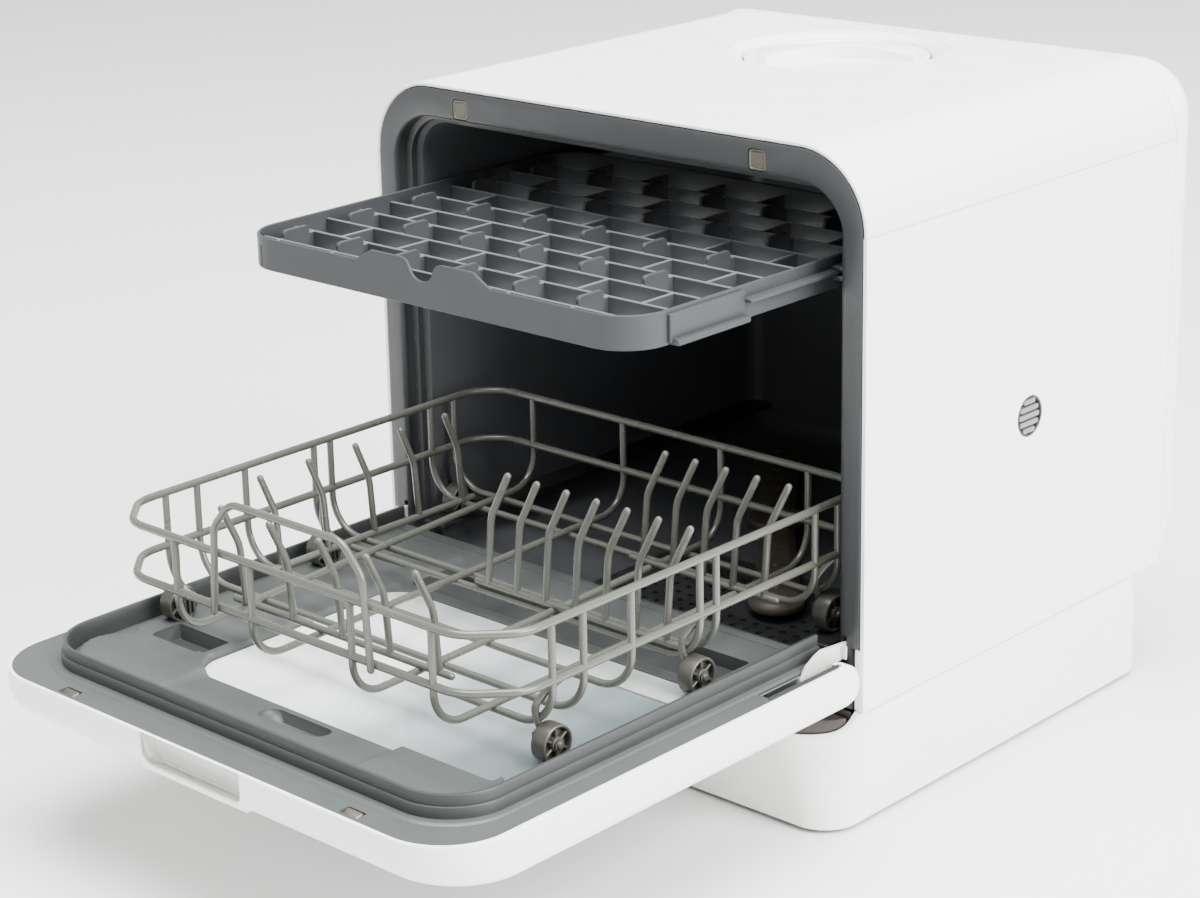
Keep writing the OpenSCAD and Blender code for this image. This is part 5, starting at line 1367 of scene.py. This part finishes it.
# Painted shade: a dark disc behind the bars stands in for the shadow in the vent's hole.
vent_hole_shade_disc = plate(arc((VENT_Y, VENT_Z), 12.5, 0, 360, 48)[:-1], "x", 207.5, 207.9, 0.1)
piece("vent_grille", [vent_ring, vent_hole_shade_disc], dark, replaces=["side_vent_grille"])
piece("vent_slats", [vent_bar((k - 2) * 4.9) for k in range(5)], vent_grey)

# %% [markdown]
# ## Finishes for the CAD nodes that stay
# Parts that are seen little, such as the pumps in the base, keep their CAD solids and get a finish.
# The filter over the sump is a woven cloth of fine black wires. Modelled wires would take thousands
# of faces, so two wave textures at right angles draw them. The real wires lie 0.3 mm apart, and they
# are drawn about 1.3 mm apart so that the weave shows.

# %% Filter weave
WEAVE_SCALE = 240.0


def weave_finish():
    """The brighter of two waves that run at 45 and -45 degrees, as a ramp from near black to dark grey."""
    material = plastic("nylon_black_woven", "17181a", rough=0.4, bump=0.03, mottle=0.05)
    tree, shader, place = opened(material)
    waves = []
    for turn in (0.785, -0.785):
        tilted = add(tree, "ShaderNodeMapping", {"Vector": place, "Rotation": (0, 0, turn)}).outputs["Vector"]
        waves.append(add(tree, "ShaderNodeTexWave", {"Vector": tilted, "Scale": WEAVE_SCALE}).outputs["Fac"])
    top = add(tree, "ShaderNodeMath", {0: waves[0], 1: waves[1]}, operation="MAXIMUM")
    ramp = add(tree, "ShaderNodeValToRGB", {"Fac": top.outputs[0]})
    for stop, position, code in zip(ramp.color_ramp.elements, (0.45, 0.95), ("060607", "3a3b3c")):
        stop.position, stop.color = position, linear(code)
    tree.links.new(ramp.outputs["Color"], shader.inputs["Base Color"])
    return material


# %% Assign finishes
FINISHES = {
    "side_panel_left": white, "side_panel_right": white, "cap_plug": white_inner,
    "hose_connectors": white_inner, "hinge_brackets": hinge_white, "control_strip": strip_black,
    "control_board": circuit, "filter_mesh": weave_finish(), "fill_pipe": tube_clear,
    "rear_screws": steel, "water_heater": steel, "hinge_pins": steel, "feet": rubber, "cap_seal": rubber,
}
FINISHES |= dict.fromkeys(("base_pan", "sump", "filter_cup", "spray_feed", "wash_pump", "drain_pump",
                           "fan_duct", "fan_housing", "fan_rotor", "power_inlet"), dark)
for name, finish in FINISHES.items():
    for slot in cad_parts[name].material_slots:
        slot.material = finish
print(len(FINISHES), "CAD nodes have their finish")

# %% [markdown]
# ## Stage
# A studio's floor turns up far behind the object, so no horizon line shows. The floor is a grid whose
# rows follow that curve, painted a plain pale grey that keeps the white cabinet's outline visible.

# %% Stage
def sweep_floor(half=6, bend=7.0, r=1.5, front=-4):
    """A floor that is flat up to the bend and then rises along a quarter circle, sizes in metres.

    Past the bend y is front + bend + r sin (t / r) and z is r (1 - cos (t / r)), t being the way along it."""
    x, s = np.linspace(-half, half, 41), np.linspace(0, 12, 81)
    over = np.clip(s - bend, 0, r * math.pi / 2)
    y = np.minimum(s, bend) + r * np.sin(over / r) + front
    z = r * (1 - np.cos(over / r)) + np.maximum(s - bend - r * math.pi / 2, 0)
    rings = np.stack(np.broadcast_arrays(x[None, :], y[:, None], z[:, None]), -1)
    points, faces = loft(rings, around=False)
    floor = new_object("studio_floor", points, faces)
    floor.data.polygons.foreach_set("use_smooth", [True] * len(floor.data.polygons))
    floor.data.materials.append(plastic("floor_paint", "e7e7e6", rough=0.6, bump=0.02, mottle=0.004))
    return len(faces)


print("floor with", sweep_floor(), "faces")

# %% [markdown]
# ## Light
# Product studios light white appliances softly from above and from one side, so that the front stays
# a little darker than the top. Three square area lights do that, and a white world fills the rest.

# %% Lights
def soft_light(name, place, target, size, watts):
    """A square area light at a place in metres, aimed at a target."""
    lamp = bpy.data.lights.new(name, "AREA")
    lamp.shape, lamp.size, lamp.energy = "SQUARE", size, watts
    obj = bpy.data.objects.new(name, lamp)
    bpy.context.scene.collection.objects.link(obj)
    away = np.array(place, float) - np.array(target, float)
    obj.location = place
    obj.rotation_euler = (math.atan2(math.hypot(away[0], away[1]), away[2]), 0, math.atan2(away[0], -away[1]))
    print(name, watts, "W")


TARGET = (0, 0, 0.2)
soft_light("front_soft", (-1.8, -2.6, 1.6), TARGET, size=1.8, watts=8)
soft_light("right_soft", (3.0, 0.4, 1.9), TARGET, size=2.2, watts=330)
soft_light("top_soft", (0.2, -0.2, 3.2), TARGET, size=2.8, watts=430)
world = bpy.data.worlds.new("studio")
world.use_nodes = True
sky = world.node_tree.nodes["Background"]
sky.inputs["Color"].default_value = (1.0, 1.0, 1.0, 1.0)
sky.inputs["Strength"].default_value = 0.95
bpy.context.scene.world = world

# %% [markdown]
# ## Camera
# The camera stands to the front right and looks down. A Track To constraint would leave the roll to
# Blender. The three axes are built from the angles instead and written into the camera's matrix.

# %% Camera
def set_camera(place, yaw, pitch, roll, lens, shift):
    """Looks along (sin yaw cos pitch, cos yaw cos pitch, -sin pitch), turned about that line by the roll."""
    ahead = np.array([math.sin(yaw) * math.cos(pitch), math.cos(yaw) * math.cos(pitch), -math.sin(pitch)])
    side = np.array([math.cos(yaw), -math.sin(yaw), 0.0])
    up = np.cross(side, ahead)
    c, s = math.cos(roll), math.sin(roll)
    axes = Matrix(np.column_stack([side * c + up * s, -side * s + up * c, -ahead]).tolist())
    camera = bpy.data.objects.new("view_camera", bpy.data.cameras.new("view_camera"))
    bpy.context.scene.collection.objects.link(camera)
    camera.data.lens, camera.data.sensor_width = lens, 36.0
    camera.data.sensor_fit = "HORIZONTAL"
    camera.data.shift_x, camera.data.shift_y = shift
    camera.data.clip_start, camera.data.clip_end = 0.05, 50
    camera.matrix_world = Matrix.Translation(place) @ axes.to_4x4()
    bpy.context.scene.camera = camera
    print("camera at", place, "with a lens of", lens, "mm")


set_camera(place=(1.1629, -1.2829, 0.7892), yaw=-0.7842, pitch=0.2936, roll=-0.0322, lens=82.79,
           shift=(0.09, -0.07))
